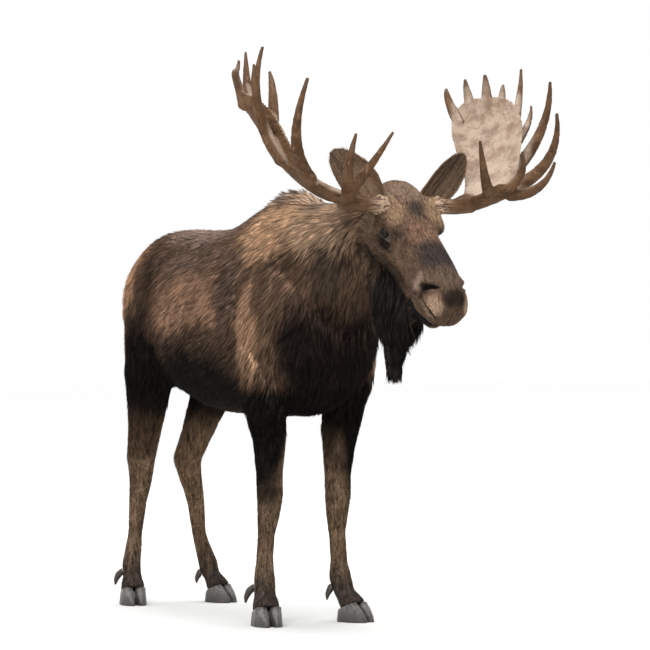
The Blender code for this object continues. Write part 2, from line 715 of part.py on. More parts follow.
def part_antler(antler_body, side):
    """The antler in its brow palm, its main palm and the beam that joins them to the head."""
    name = "antler_" + SIDE_NAME[side]
    sideways = HEAD_LEFT * side
    fork = by_antlers(side, 0.388, -0.005, 0)
    brow_corner = both(
        beyond(fork, sideways + HEAD_FORWARD),
        beyond(fork, HEAD_FORWARD - sideways),
    )
    brow_palm, rest = take(antler_body, brow_corner, name + "_brow_palm")
    palm, beam = take(rest, beyond(by_antlers(side, 0.36, 0, 0), sideways), name + "_palm")
    beam.name = name + "_beam"
    return beam


# Each leg's upper part lies between two places along the body, below a plane that rises outwards.
FORELEG_ROOM = {"front": -0.92, "back": -0.40, "inner_height": 0.882, "rise": 0.6}
HINDLEG_ROOM = {"front": 0.34, "back": 1.0, "inner_height": 0.928, "rise": 0.7}


def leg_region(side, front, back, inner_height, rise):
    """The room below a plane that rises outwards from the middle, between two places along the body."""
    room = block("leg_room", (0, front, -0.1), (0.8, back, 1.6))
    if side == RIGHT:
        room.data.transform(Matrix.Diagonal((-1, 1, 1, 1)))
        room.data.flip_normals()
    return both(room, beyond(Vector((0, 0, inner_height)), (side * rise, 0, -1)))


def part_leg(body, side, name, foot, region, joint_height):
    """A leg in its upper part, its cannon and its foot, which stops at the hooves' rim."""
    upper, body = take(body, region, name + "_upper")
    lower, upper = take(upper, beyond(Vector((0, 0, joint_height)), (0, 0, -1)), name + "_cannon")
    foot_part, lower = take(lower, beyond(Vector((0, 0, FETLOCK_TOP)), (0, 0, -1)), name + "_foot")
    rim = rim_block("rim", foot, side, False)
    foot_part = boolean(foot_part, rim, "DIFFERENCE")
    bpy.data.objects.remove(rim)
    return foot_part, body


# ---------------------------------------------------------------- finishes
FINISHES = {  # how the names start, with colour, roughness
    "antler": ((0.30, 0.21, 0.14), 0.55),
    "hoof": ((0.07, 0.065, 0.06), 0.45),
    "dewclaw": ((0.05, 0.045, 0.04), 0.5),
    "eye": ((0.012, 0.008, 0.006), 0.08),
    "bell": ((0.02, 0.017, 0.016), 0.8),
    "tail": ((0.06, 0.045, 0.035), 0.8),
    "ear": ((0.10, 0.075, 0.055), 0.8),
    "head": ((0.10, 0.07, 0.048), 0.75),
    "neck": ((0.12, 0.085, 0.055), 0.8),
    "trunk": ((0.11, 0.078, 0.052), 0.8),
    "foreleg": ((0.08, 0.06, 0.045), 0.75),
    "hindleg": ((0.11, 0.085, 0.06), 0.75),
}


def finish(name):
    """The material that all pieces whose names start alike share."""
    kind = next(kind for kind in FINISHES if name.startswith(kind))
    made = bpy.data.materials.get(kind)
    if made is None:
        made = bpy.data.materials.new(kind)
        made.use_nodes = True
        shader = made.node_tree.nodes["Principled BSDF"]
        colour, roughness = FINISHES[kind]
        shader.inputs["Base Color"].default_value = (*colour, 1)
        shader.inputs["Roughness"].default_value = roughness
        shader.inputs["Metallic"].default_value = 0
    return made


# ---------------------------------------------------------------- the whole animal
def clear_scene():
    for made in list(bpy.data.objects):
        bpy.data.objects.remove(made)


def stand_at_origin():
    """Each piece gets its own middle as its origin, under one empty that stands on the ground below
    the middle of the animal."""
    pieces = list(bpy.context.scene.collection.objects)
    herd = bpy.data.collections.new("moose")
    bpy.context.scene.collection.children.link(herd)
    root = bpy.data.objects.new("moose_root", None)
    herd.objects.link(root)
    corners = [v.co for piece in pieces for v in piece.data.vertices]
    lows = Vector([min(c[i] for c in corners) for i in range(3)])
    highs = Vector([max(c[i] for c in corners) for i in range(3)])
    ground_middle = Vector(((lows.x + highs.x) / 2, (lows.y + highs.y) / 2, 0))
    for piece in pieces:
        spots = [v.co for v in piece.data.vertices]
        middle = sum(spots, Vector()) / len(spots)
        piece.data.transform(Matrix.Translation(-middle))
        piece.location = middle - ground_middle
        piece.parent = root
        piece.data.name = piece.name
        piece.data.materials.clear()
        piece.data.materials.append(finish(piece.name))
        piece.data.shade_smooth()
        piece.data.set_sharp_from_angle(angle=SHARP_FROM)
        bpy.context.scene.collection.objects.unlink(piece)
        herd.objects.link(piece)


def main():
    clear_scene()
    flesh = [trunk(), neck(), skull(), jaw()]
    for side in (LEFT, RIGHT):
        flesh += brow(side) + [front_leg(side), hind_leg(side)]
    body = fuse("trunk", flesh, BODY_VOXEL, 4, BODY_TRIANGLES)
    cut_clear(bell(), body)
    cut_clear(tail(), body)
    for side, palm, tines in ((LEFT, LEFT_PALM, LEFT_TINES), (RIGHT, RIGHT_PALM, RIGHT_TINES)):
        cut_clear(ear(side), body)
        part_antler(cut_clear(antler(side, palm, tines), body), side)

    head, body = take(body, beyond(on_head(*NAPE), FACE_WAY), "head")
    cut_clear(head, eye(LEFT), eye(RIGHT))
    _, body = take(body, beyond(WITHERS, CHEST_WAY), "neck")

    for side in (LEFT, RIGHT):
        front_room = leg_region(side, **FORELEG_ROOM)
        hind_room = leg_region(side, **HINDLEG_ROOM)
        for leg, foot, size, room, joint in (
            ("foreleg", FRONT_HOOF[side], FRONT_SIZE, front_room, FORELEG_JOINT),
            ("hindleg", HIND_HOOF[side], HIND_SIZE, hind_room, HINDLEG_JOINT),
        ):
            name = f"{leg}_{SIDE_NAME[side]}"
            foot_part, body = part_leg(body, side, name, foot, room, joint)
            for half, which in ((side, "outer"), (-side, "inner")):
                claw(f"hoof_{name}_{which}", foot, side, half, size)
                cut_clear(dewclaw(f"dewclaw_{name}_{which}", foot, side, half, size), foot_part)
    stand_at_origin()


main()
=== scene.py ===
"""A bull moose at life size: hide, coat, eyes, ears, antlers and hooves, dressed over its solids."""
import math

import bmesh
import bpy
import numpy as np
from mathutils import Matrix, Vector
from mathutils.kdtree import KDTree


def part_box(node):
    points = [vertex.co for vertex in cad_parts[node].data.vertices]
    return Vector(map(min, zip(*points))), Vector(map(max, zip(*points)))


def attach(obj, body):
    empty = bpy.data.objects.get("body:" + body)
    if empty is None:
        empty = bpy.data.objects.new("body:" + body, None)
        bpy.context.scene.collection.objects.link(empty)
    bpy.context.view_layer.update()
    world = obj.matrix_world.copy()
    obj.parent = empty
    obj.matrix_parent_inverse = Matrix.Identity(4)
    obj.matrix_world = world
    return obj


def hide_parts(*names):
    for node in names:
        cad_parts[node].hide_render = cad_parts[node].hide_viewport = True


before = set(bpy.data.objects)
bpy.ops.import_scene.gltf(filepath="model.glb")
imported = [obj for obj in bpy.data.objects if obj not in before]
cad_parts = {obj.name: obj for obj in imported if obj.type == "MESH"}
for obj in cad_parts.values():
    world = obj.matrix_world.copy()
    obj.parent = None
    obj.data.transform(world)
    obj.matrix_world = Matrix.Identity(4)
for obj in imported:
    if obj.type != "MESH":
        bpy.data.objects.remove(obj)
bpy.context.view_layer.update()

# ---------------------------------------------------------------- the hide
# One skin over the whole animal, from the nose to the tail and down to the
# hooves' rims. It lies inside the body's solids by the depth of the coat
# that grows on it, and carries the head's lids, nostrils and lips.

LEFT, RIGHT = 1, -1
SIDES = {LEFT: "left", RIGHT: "right"}
LEGS = [(leg, side) for leg in ("foreleg", "hindleg") for side in (LEFT, RIGHT)]

HEAD_TURN = math.radians(5)
HEAD_PITCH = math.radians(47)
HEAD_AXES = Matrix.Rotation(HEAD_TURN, 3, "Z") @ Matrix((
    (0, 0, 1),
    (-math.cos(HEAD_PITCH), -math.sin(HEAD_PITCH), 0),
    (-math.sin(HEAD_PITCH), math.cos(HEAD_PITCH), 0),
))  # its columns run along the face, out of it, and to the animal's left
ALONG, OUT, HEAD_LEFT = (HEAD_AXES.col[i] for i in range(3))


def middle(node):
    low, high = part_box(node)
    return (low + high) / 2


EYE_SPREAD = (middle("eye_left") - middle("eye_right")).length / 2
EYE_RADIUS = (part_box("eye_left")[1].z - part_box("eye_left")[0].z) / 2
EYE_BACK = 0.015  # how far the eyes' solids lie behind the head's middle, and below it
EYE_FORWARD, EYE_LOWER = -0.006, -0.017  # and where the eyes themselves lie
HEAD_MIDDLE = (middle("eye_left") + middle("eye_right")) / 2 + (ALONG + OUT) * EYE_BACK
BODY_X = middle("trunk").x


def head_place(points):
    """How far points lie along the face, out of it and to the left of its middle."""
    return (points - np.array(HEAD_MIDDLE)) @ np.array(HEAD_AXES)


def on_head(along, out, left):
    return HEAD_MIDDLE + ALONG * along + OUT * out + HEAD_LEFT * left


def ease(values, low, high):
    """0 below low, 1 above high, and a smooth rise between them."""
    part = np.clip((values - low) / (high - low), 0, 1)
    return part * part * (3 - 2 * part)


def hill(distance, width):
    return np.exp(-(distance / width) ** 2)


def points_of(mesh):
    points = np.empty(len(mesh.vertices) * 3, np.float32)
    mesh.vertices.foreach_get("co", points)
    return points.reshape(-1, 3).astype(float)


def set_points(mesh, points):
    mesh.vertices.foreach_set("co", points.astype(np.float32).ravel())
    mesh.update()


def normals_of(mesh):
    normals = np.empty(len(mesh.vertices) * 3, np.float32)
    mesh.vertex_normals.foreach_get("vector", normals)
    return normals.reshape(-1, 3).astype(float)


def edges_of(mesh):
    edges = np.empty(len(mesh.edges) * 2, np.int32)
    mesh.edges.foreach_get("vertices", edges)
    return edges.reshape(-1, 2)


def neighbour_mean(values, edges, weights=None):
    """Each vertex's mean of its neighbours' values."""
    count = len(values)
    weights = np.ones(len(edges)) if weights is None else weights
    total = np.zeros_like(values)
    share = np.zeros(count)
    for here, there in ((0, 1), (1, 0)):
        share += np.bincount(edges[:, here], weights, count)
        for axis in range(values.shape[1]):
            total[:, axis] += np.bincount(edges[:, here], weights * values[edges[:, there], axis], count)
    return total / np.maximum(share, 1e-9)[:, None]


def smoothed(points, edges, rounds, amount=1.0):
    """Smooths without shrinking: each round steps in, and then a little further out."""
    amount = np.broadcast_to(amount, len(points))[:, None]
    for _ in range(rounds):
        for step in (0.6, -0.62):
            points = points + (neighbour_mean(points, edges) - points) * step * amount
    return points


def placed(name, data):
    """A new object in the scene, made of a mesh, a lamp or a lens."""
    made = bpy.data.objects.new(name, data)
    bpy.context.scene.collection.objects.link(made)
    return made


def apply_modifiers(made):
    """Makes an object's modifiers part of its mesh."""
    before = made.data
    made.data = bpy.data.meshes.new_from_object(made.evaluated_get(bpy.context.evaluated_depsgraph_get()))
    made.modifiers.clear()
    bpy.data.meshes.remove(before)


def remeshed(name, nodes, voxel):
    """The nodes' solids as one even mesh."""
    bm = bmesh.new()
    for node in nodes:
        bm.from_mesh(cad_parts[node].data)
    return evened(name, bm, voxel)


def evened(name, bm, voxel):
    """The bodies as one even mesh, with loose crumbs left out."""
    mesh = bpy.data.meshes.new(name)
    bm.to_mesh(mesh)
    bm.free()
    made = placed(name, mesh)
    even = made.modifiers.new("even", "REMESH")
    even.mode = "VOXEL"
    even.voxel_size = voxel
    apply_modifiers(made)
    keep_largest(made.data)
    made.data.name = name
    return made


def keep_largest(mesh):
    """Deletes all but the largest of a mesh's separate parts."""
    edges = edges_of(mesh)
    group = np.arange(len(mesh.vertices))
    while True:
        least = np.minimum(group[edges[:, 0]], group[edges[:, 1]])
        joined = group.copy()
        np.minimum.at(joined, edges[:, 0], least)
        np.minimum.at(joined, edges[:, 1], least)
        joined = joined[joined]
        if np.array_equal(joined, group):
            break
        group = joined
    names, counts = np.unique(group, return_counts=True)
    crumbs = group != names[counts.argmax()]
    if crumbs.any():
        bm = bmesh.new()
        bm.from_mesh(mesh)
        bm.verts.ensure_lookup_table()
        bmesh.ops.delete(bm, geom=[bm.verts[i] for i in np.flatnonzero(crumbs)], context="VERTS")
        bm.to_mesh(mesh)
        bm.free()


FLESH = ["trunk", "neck", "head", "bell", "tail"]
FLESH += [f"{leg}_{SIDES[side]}_{part}" for leg, side in LEGS for part in ("upper", "cannon", "foot")]
HIDE_VOXEL = 0.008
HIDE_ROUNDS = 60  # of smoothing
HIDE_KEPT = 0.40  # of the faces, when the trunk's broad forms are thinned


def in_box(points, node, margin=0.0):
    low, high = (np.array(corner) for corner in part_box(node))
    return np.all((points > low - margin) & (points < high + margin), axis=1)


# The bell starts this far under the face's line, and further under the muzzle and behind the jaw.
BELL_UNDER = 0.150
MUZZLE_DROP, JAW_DROP = 0.07, 0.05
MUZZLE_FROM, JAW_TO = (0.27, 0.31), (-0.06, 0.02)  # along the face
BELL_EDGE = 0.012  # how far its edge fades each way
BELL_TOP = (1.60, 1.68)  # heights above the ground
BELL_BACK = (-0.01, 0.04)  # along the face, and the height where what is behind that ends
BELL_BACK_TOP = (1.42, 1.50)
HEAD_BACK = (-0.22, -0.14)  # along a slope of 0.8 along the face to 0.6 out of it
LEG_TOP = (0.80, 1.0)


def zones(points):
    """How far each place belongs to the head, to the throat's hanging bell and to the legs."""
    height = points[:, 2]
    along, out, _ = head_place(points).T
    under = BELL_UNDER + MUZZLE_DROP * ease(along, *MUZZLE_FROM) + JAW_DROP * (1 - ease(along, *JAW_TO))
    bell = in_box(points, "bell", BELL_EDGE) * ease(-out, under - BELL_EDGE, under + BELL_EDGE)
    bell = bell * (1 - ease(height, *BELL_TOP))
    bell *= np.maximum(ease(along, *BELL_BACK), 1 - ease(height, *BELL_BACK_TOP))
    head = ease(0.8 * along + 0.6 * out, *HEAD_BACK) * (1 - bell)
    leg = (1 - ease(height, *LEG_TOP)) * (1 - bell)
    return np.column_stack((head, bell, leg))


CREST_FOOT = (1.84, 1.93)  # heights
CREST_HALF_WIDTH = 0.09
CREST_FRONT, CREST_BACK = (-0.75, -0.45), (0.0, 0.12)  # along the body


def crest_share(points):
    """1 where the hair stands up along the hump's and neck's ridge."""
    _, along, height = points.T
    side = np.abs(points[:, 0] - BODY_X)
    ridge = ease(height, *CREST_FOOT) * hill(side, CREST_HALF_WIDTH)
    return ridge * ease(along, *CREST_FRONT) * (1 - ease(along, *CREST_BACK))


BELLY_DEPTH, BACK_DEEPER, CREST_DEEPER = 0.011, 0.003, 0.020  # and what the back and crest add
FOOT_DEPTH, THIGH_DEEPER = 0.003, 0.005  # and what it grows by, up the leg
BELL_DEPTH = 0.014
HEAD_DEPTH = 0.0035


def coat_depth(points):
    """How far the coat's tips stand above the skin."""
    head, bell, leg = zones(points).T
    height = points[:, 2]
    depth = BELLY_DEPTH + BACK_DEEPER * ease(height, 1.0, 1.3) + CREST_DEEPER * crest_share(points)
    depth += (FOOT_DEPTH + THIGH_DEEPER * ease(height, 0.25, 0.9) - depth) * leg
    depth += (BELL_DEPTH - depth) * bell
    return depth + (HEAD_DEPTH - depth) * head


def thinned(made, where, kept):
    """Merges small faces where the values pass one half, until only a share of all faces is left."""
    group = made.vertex_groups.new(name="thinned")
    for index in np.flatnonzero(where > 0.5):
        group.add([int(index)], 1.0, "REPLACE")
    thin = made.modifiers.new("thinned", "DECIMATE")
    thin.ratio = kept
    thin.vertex_group = group.name
    apply_modifiers(made)
    made.vertex_groups.clear()


def line_place(points, line):
    """Each point's distance from a line of stations, and the station number where it comes nearest."""
    nearest = np.full(len(points), np.inf)
    station = np.zeros(len(points))
    for number, (start, end) in enumerate(zip(line[:-1], line[1:])):
        start, end = np.array(start, float), np.array(end, float)
        part = np.clip((points - start) @ (end - start) / ((end - start) @ (end - start)), 0, 1)
        distance = np.linalg.norm(points - start - part[:, None] * (end - start), axis=1)
        nearer = distance < nearest
        nearest[nearer] = distance[nearer]
        station[nearer] = number + part[nearer]
    return nearest, station


def refined(mesh, where):
    """Halves the faces where the vertices' values pass one half."""
    bm = bmesh.new()
    bm.from_mesh(mesh)
    bm.verts.ensure_lookup_table()
    chosen = where > 0.5
    faces = [face for face in bm.faces if all(chosen[vertex.index] for vertex in face.verts)]
    edges = {edge for face in faces for edge in face.edges}
    bmesh.ops.subdivide_edges(bm, edges=list(edges), cuts=1, use_grid_fill=True)
    bm.to_mesh(mesh)
    bm.free()


EYE_AXIS = Vector((0.30, 0.22, 0.93)).normalized()  # along the face, out of it, sideways
LID_THICKNESS = 0.0030
LID_DEPTH = 0.0045  # how far the rim stands above the opening
BALL_INSET = 0.002  # how far the skin lies under the ball's surface in the opening
EYE_LENGTHS = (0.0350, 0.0235)  # of the opening, from its middle to its front and back corners
EYE_HEIGHTS = (0.0165, 0.0150)  # above and below its middle
LID_FORMS = ((-0.0018, 1.9, 0.16), (0.0010, 1.22, 0.14))  # crease and rim: height, place, width
LID_OPENING = (0.97, 1.07)  # by eye_measure, as the places above and the next two
LID_SPREAD = (1.3, 2.5)  # where the lids give way to the face
LID_BARE = (1.45, 1.85)  # and their bare skin to hair
LID_REACH = 0.06

# The mouth's line, and the nostril's from its upper end to the lip: places along and out of the face,
# and sideways from its middle, with the nostril's half width and depth at each.
MOUTH_LINE = (
    (0.240, -0.130, 0.066), (0.262, -0.142, 0.062), (0.318, -0.149, 0.060), (0.360, -0.143, 0.056),
    (0.400, -0.128, 0.050), (0.435, -0.110, 0.040), (0.458, -0.094, 0.024), (0.464, -0.088, 0.0),
)
NOSTRIL_LINE = (
    (0.380, 0.048, 0.076), (0.360, 0.032, 0.086), (0.341, 0.011, 0.094), (0.330, -0.010, 0.096),
    (0.343, -0.027, 0.097), (0.370, -0.038, 0.097), (0.415, -0.043, 0.094), (0.440, -0.046, 0.088),
    (0.463, -0.052, 0.075),
)
NOSTRIL_WIDTH = (0.007, 0.013, 0.016, 0.013, 0.008, 0.006, 0.0110, 0.0165, 0.007)
NOSTRIL_DEPTH = (0.008, 0.024, 0.028, 0.022, 0.014, 0.012, 0.020, 0.026, 0.008)
NOSTRIL_RIM = (0.5, 1, 1, 1, 1, 1, 1, 0.8, 0)  # how fully the rim stands up there
RIM_HEIGHT, RIM_WIDTH, RIM_OUTSIDE = 0.0040, 0.006, 0.005
MOUTH_DEPTH, MOUTH_WIDTH = 0.013, 0.0036
UPPER_LIP, LOWER_LIP, LIP_WIDTH = 0.0045, -0.0020, 0.013
SIDEWAYS_SHARE = 0.3  # of a distance sideways, in measuring how far a point is from these lines

# Low forms of the face: a line of places, then the width and height of the swelling or fold along it.
FACE_FORMS = (
    (((-0.085, 0.060, 0.110), (-0.03, 0.060, 0.122), (0.02, 0.045, 0.122)), 0.018, 0.0060),  # brow
    # in front of the eye
    (((0.045, -0.010, 0.124), (0.055, 0.015, 0.122), (0.060, 0.040, 0.116)), 0.017, -0.0120),
    (((0.012, -0.026, 0.134), (0.045, -0.034, 0.126), (0.070, -0.036, 0.118)), 0.006, -0.0040),  # tear line
    (  # cheekbone
        ((-0.06, -0.080, 0.134), (0.02, -0.095, 0.125), (0.12, -0.080, 0.104), (0.21, -0.070, 0.098)),
        0.020, 0.0060,
    ),
    (((-0.045, -0.055, 0.134), (0.000, -0.066, 0.130), (0.035, -0.058, 0.126)), 0.008, -0.0035),  # bag's edge
    (((-0.03, -0.150, 0.10), (0.03, -0.160, 0.09)), 0.055, 0.0060),  # jaw muscle
    (((0.13, -0.120, 0.085), (0.20, -0.115, 0.080)), 0.030, -0.0070),  # hollow before it
    # beside the nose
    (((0.11, -0.020, 0.104), (0.20, -0.010, 0.100), (0.26, -0.015, 0.100)), 0.026, -0.0060),
    (  # behind the nostril
        ((0.292, -0.045, 0.098), (0.300, 0.0, 0.098), (0.322, 0.04, 0.088), (0.37, 0.066, 0.060)),
        0.015, 0.0075,
    ),
    # groove down the lip's middle
    (((0.40, 0.060, 0.0), (0.44, 0.036, 0.0), (0.466, -0.01, 0.0), (0.470, -0.08, 0.0)), 0.007, -0.0050),
    (((0.385, 0.000, 0.094), (0.42, -0.005, 0.088), (0.450, -0.03, 0.062)), 0.026, 0.0080),  # nose's front
    (((0.340, -0.058, 0.100), (0.39, -0.066, 0.099), (0.43, -0.068, 0.090)), 0.011, 0.0060),  # under it
    (  # upper lip
        ((0.28, -0.125, 0.072), (0.33, -0.130, 0.072), (0.39, -0.112, 0.068), (0.445, -0.082, 0.045)),
        0.014, 0.0070,
    ),
    (((0.272, -0.050, 0.098), (0.258, -0.09, 0.088), (0.250, -0.13, 0.068)), 0.009, -0.0055),  # cheek's fold
    (((0.242, -0.050, 0.099), (0.228, -0.09, 0.090), (0.222, -0.13, 0.072)), 0.013, 0.0050),  # behind it
    (((-0.13, 0.10, 0.0), (-0.05, 0.105, 0.0), (0.02, 0.092, 0.0)), 0.030, -0.0060),  # between the brows
    (((0.06, 0.080, 0.0), (0.15, 0.080, 0.0), (0.26, 0.074, 0.0)), 0.060, 0.0080),  # nose's bridge
    (((0.37, -0.175, 0.0), (0.41, -0.165, 0.0)), 0.030, 0.0040),  # chin
)


def mirrored(places):
    return np.column_stack((places[:, 0], places[:, 1], np.abs(places[:, 2])))


def lip_place(places, line):
    """line_place with only a share of the distances sideways, for lines that lie on the muzzle."""
    flatter = np.array((1, 1, SIDEWAYS_SHARE))
    return line_place(places * flatter, np.array(line) * flatter)


def eye_axis(side):
    return HEAD_AXES @ Vector((EYE_AXIS.x, EYE_AXIS.y, EYE_AXIS.z * side))


def eye_place(points, side):
    """Points in an eye's own frame: forward along the face, upward, and out along its axis."""
    axis = np.array(EYE_AXIS) * (1, 1, side)
    forward = np.array((1, 0, 0)) - axis * axis[0]
    forward /= np.linalg.norm(forward)
    upward = np.cross(axis, forward) * side
    middle_place = np.array((EYE_FORWARD, EYE_LOWER, side * EYE_SPREAD))
    return (head_place(points) - middle_place) @ np.column_stack((forward, upward, axis))


def eye_measure(places):
    """A place round the eye: 1 along the lids' rims, less inside the opening and more outside it."""
    forward, upward = places[:, 0], places[:, 1]
    tilted = upward - 0.10 * forward + 6.0 * np.maximum(forward, 0) ** 2
    part = np.abs(forward) / np.where(forward > 0, *EYE_LENGTHS)
    rise = np.abs(tilted) / np.where(tilted > 0, *EYE_HEIGHTS)
    return np.sqrt(0.5 * (part ** 2 + rise ** 2) + 0.5 * (part ** 2 + rise) ** 2)


def with_lids(points, side):
    """The points with an eye's lids raised round its ball, and how far each is lid."""
    places = eye_place(points, side)
    measure = eye_measure(places)
    around = np.hypot(places[:, 0], places[:, 1])
    outward = places[:, 2]
    near = (around < LID_REACH) & (outward > -0.02)
    cover = np.sqrt(np.maximum((EYE_RADIUS + LID_THICKNESS) ** 2 - around ** 2, 0))
    ball = np.sqrt(np.maximum(EYE_RADIUS ** 2 - around ** 2, 0))
    lid = np.maximum(cover, outward - 0.004)
    shaped = outward + (lid - outward) * (1 - ease(measure, *LID_SPREAD))
    for height, middle_measure, width in LID_FORMS:
        shaped += height * hill(measure - middle_measure, width)
    inside = np.minimum(ball - BALL_INSET, shaped - LID_DEPTH)
    shaped += (inside - shaped) * (1 - ease(measure, *LID_OPENING))
    raised = points + np.array(eye_axis(side)) * np.where(near, shaped - outward, 0)[:, None]
    return raised, np.where(near, 1 - ease(measure, *LID_BARE), 0)


def sculpt_head(mesh):
    """Raises the face's forms. Gives how far each vertex is lid, nostril and lip."""
    points = points_of(mesh)
    normals = normals_of(mesh)
    share = zones(points)[:, 0]
    places = mirrored(head_place(points))
    rise = np.zeros(len(points))
    for line, width, height in FACE_FORMS:
        rise += height * hill(line_place(places, line)[0], width)
    points += normals * (rise * share)[:, None]

    distance, station = lip_place(places, NOSTRIL_LINE)
    steps = np.arange(len(NOSTRIL_LINE))
    width = np.interp(station, steps, NOSTRIL_WIDTH)
    depth = np.interp(station, steps, NOSTRIL_DEPTH)
    rim = RIM_HEIGHT * hill(distance - width - RIM_OUTSIDE, RIM_WIDTH)
    rim = rim * np.interp(station, steps, NOSTRIL_RIM)
    # The nostril's hollow, which the hide's finish also paints near black as shade inside the opening.
    hollow = 1 - ease(distance, width * 0.35, width + 0.0015)
    points += normals * (rim - depth * hollow)[:, None]

    distance, station = lip_place(places, MOUTH_LINE)
    above = places[:, 1] - np.interp(places[:, 0], *zip(*((along, out) for along, out, _ in MOUTH_LINE)))
    fade = ease(station, 0.0, 1.0)
    slit = -MOUTH_DEPTH * hill(distance, MOUTH_WIDTH) * fade
    lips = hill(distance, LIP_WIDTH) * np.where(above > 0, UPPER_LIP, LOWER_LIP) * fade
    points += normals * (slit + lips)[:, None]
    # The lip mask: the mouth's line, which the finish paints black as the shadow under the upper lip, and the
    # lower lip's bare dark skin.
    lip = fade * np.maximum(hill(distance, 0.006), (above < 0) * (1 - ease(distance, 0.020, 0.034)))

    for side in SIDES:
        points, lid = with_lids(points, side)
        lids = lid if side == LEFT else np.maximum(lids, lid)
    set_points(mesh, points)
    return np.column_stack((lids, hollow, lip))


DETAIL_REACHES = (0.042, 0.022)  # round the eyes, for two halvings of the faces
NOSTRIL_DETAIL, MOUTH_DETAIL = 0.55, 0.35  # of those reaches
EYE_DETAIL = (-0.010, -EYE_BACK, EYE_SPREAD + 0.012)  # the middle of the lids


def detail_share(mesh, reach):
    """1 near the eyes, nostrils and mouth, within a reach of them."""
    places = mirrored(head_place(points_of(mesh)))
    chosen = lip_place(places, NOSTRIL_LINE)[0] < reach * NOSTRIL_DETAIL
    chosen |= lip_place(places, MOUTH_LINE)[0] < reach * MOUTH_DETAIL
    chosen |= np.linalg.norm(places - EYE_DETAIL, axis=1) < reach
    return chosen.astype(float)


# Low forms of the body and legs, as lines of places to the side of its middle, along it and up.
BODY_FORMS = (
    # hollow behind the shoulder
    (((0.30, -0.10, 1.50), (0.31, -0.12, 1.30), (0.29, -0.09, 1.12), (0.24, -0.04, 1.02)), 0.045, -0.013),
    (((0.30, 0.70, 1.02), (0.31, 0.66, 1.14), (0.31, 0.66, 1.26)), 0.030, -0.014),  # flank's fold
    (((0.28, 0.58, 1.00), (0.32, 0.57, 1.12), (0.33, 0.58, 1.24)), 0.040, 0.009),  # in front of it
    (((0.28, -0.30, 1.50), (0.29, -0.32, 1.30), (0.28, -0.28, 1.12)), 0.080, 0.008),  # back of the shoulder
    (((0.14, -0.20, 1.82), (0.22, -0.28, 1.66), (0.25, -0.36, 1.50)), 0.060, 0.008),  # shoulder blade
    (((0.22, -0.52, 1.52), (0.22, -0.56, 1.34), (0.19, -0.56, 1.18)), 0.050, 0.009),  # shoulder's point
    (((0.18, -0.64, 1.66), (0.20, -0.60, 1.50), (0.15, -0.62, 1.32)), 0.035, -0.010),  # foot of the neck
    (((0.13, -0.74, 1.62), (0.12, -0.70, 1.45), (0.09, -0.64, 1.28)), 0.035, 0.008),  # neck's muscle
    (((0.22, 0.86, 1.72), (0.27, 0.92, 1.56)), 0.060, 0.009),  # hip
    (((0.25, 1.08, 1.60), (0.27, 1.10, 1.40), (0.25, 1.12, 1.20)), 0.050, -0.008),  # behind the hip
    (((0.26, 0.90, 1.38), (0.28, 0.88, 1.20), (0.24, 0.92, 1.02)), 0.070, 0.009),  # thigh
)


def shape_body(mesh):
    """Raises the body's and legs' forms."""
    points = points_of(mesh)
    places = np.column_stack((np.abs(points[:, 0] - BODY_X), points[:, 1], points[:, 2]))
    share = 1 - zones(points)[:, :2].sum(axis=1)
    rise = np.zeros(len(points))
    for line, width, height in BODY_FORMS:
        rise += height * hill(line_place(places, line)[0], width)
    set_points(mesh, points + normals_of(mesh) * (rise * share)[:, None])


hide = remeshed("hide", FLESH, HIDE_VOXEL)
edges = edges_of(hide.data)
points = smoothed(points_of(hide.data), edges, HIDE_ROUNDS)
set_points(hide.data, points)
set_points(hide.data, points - normals_of(hide.data) * coat_depth(points)[:, None])
shape_body(hide.data)
head, bell, leg = zones(points).T
thinned(hide, (1 - head) * (1 - leg), HIDE_KEPT)
refined(hide.data, zones(points_of(hide.data))[:, 0])
for reach in DETAIL_REACHES:
    refined(hide.data, detail_share(hide.data, reach))
bare = sculpt_head(hide.data)
hide.data.shade_smooth()


def add_vectors(mesh, name, values):
    """Keeps three numbers a vertex, for the finish to read."""
    layer = mesh.attributes.new(name, "FLOAT_VECTOR", "POINT")
    layer.data.foreach_set("vector", values.astype(np.float32).ravel())


FLAT_TURN = math.radians(66)  # how far a field's faces may turn from each other
FLAT_GAP = 0.002


def unwrap(made):
    """Lays the whole skin flat in many small fields."""
    made.data.uv_layers.new(name="OFBake")
    bpy.ops.object.select_all(action="DESELECT")
    made.select_set(True)
    bpy.context.view_layer.objects.active = made
    bpy.ops.object.mode_set(mode="EDIT")
    bpy.ops.mesh.select_all(action="SELECT")
    bpy.ops.uv.smart_project(angle_limit=FLAT_TURN, island_margin=FLAT_GAP)
    bpy.ops.object.mode_set(mode="OBJECT")


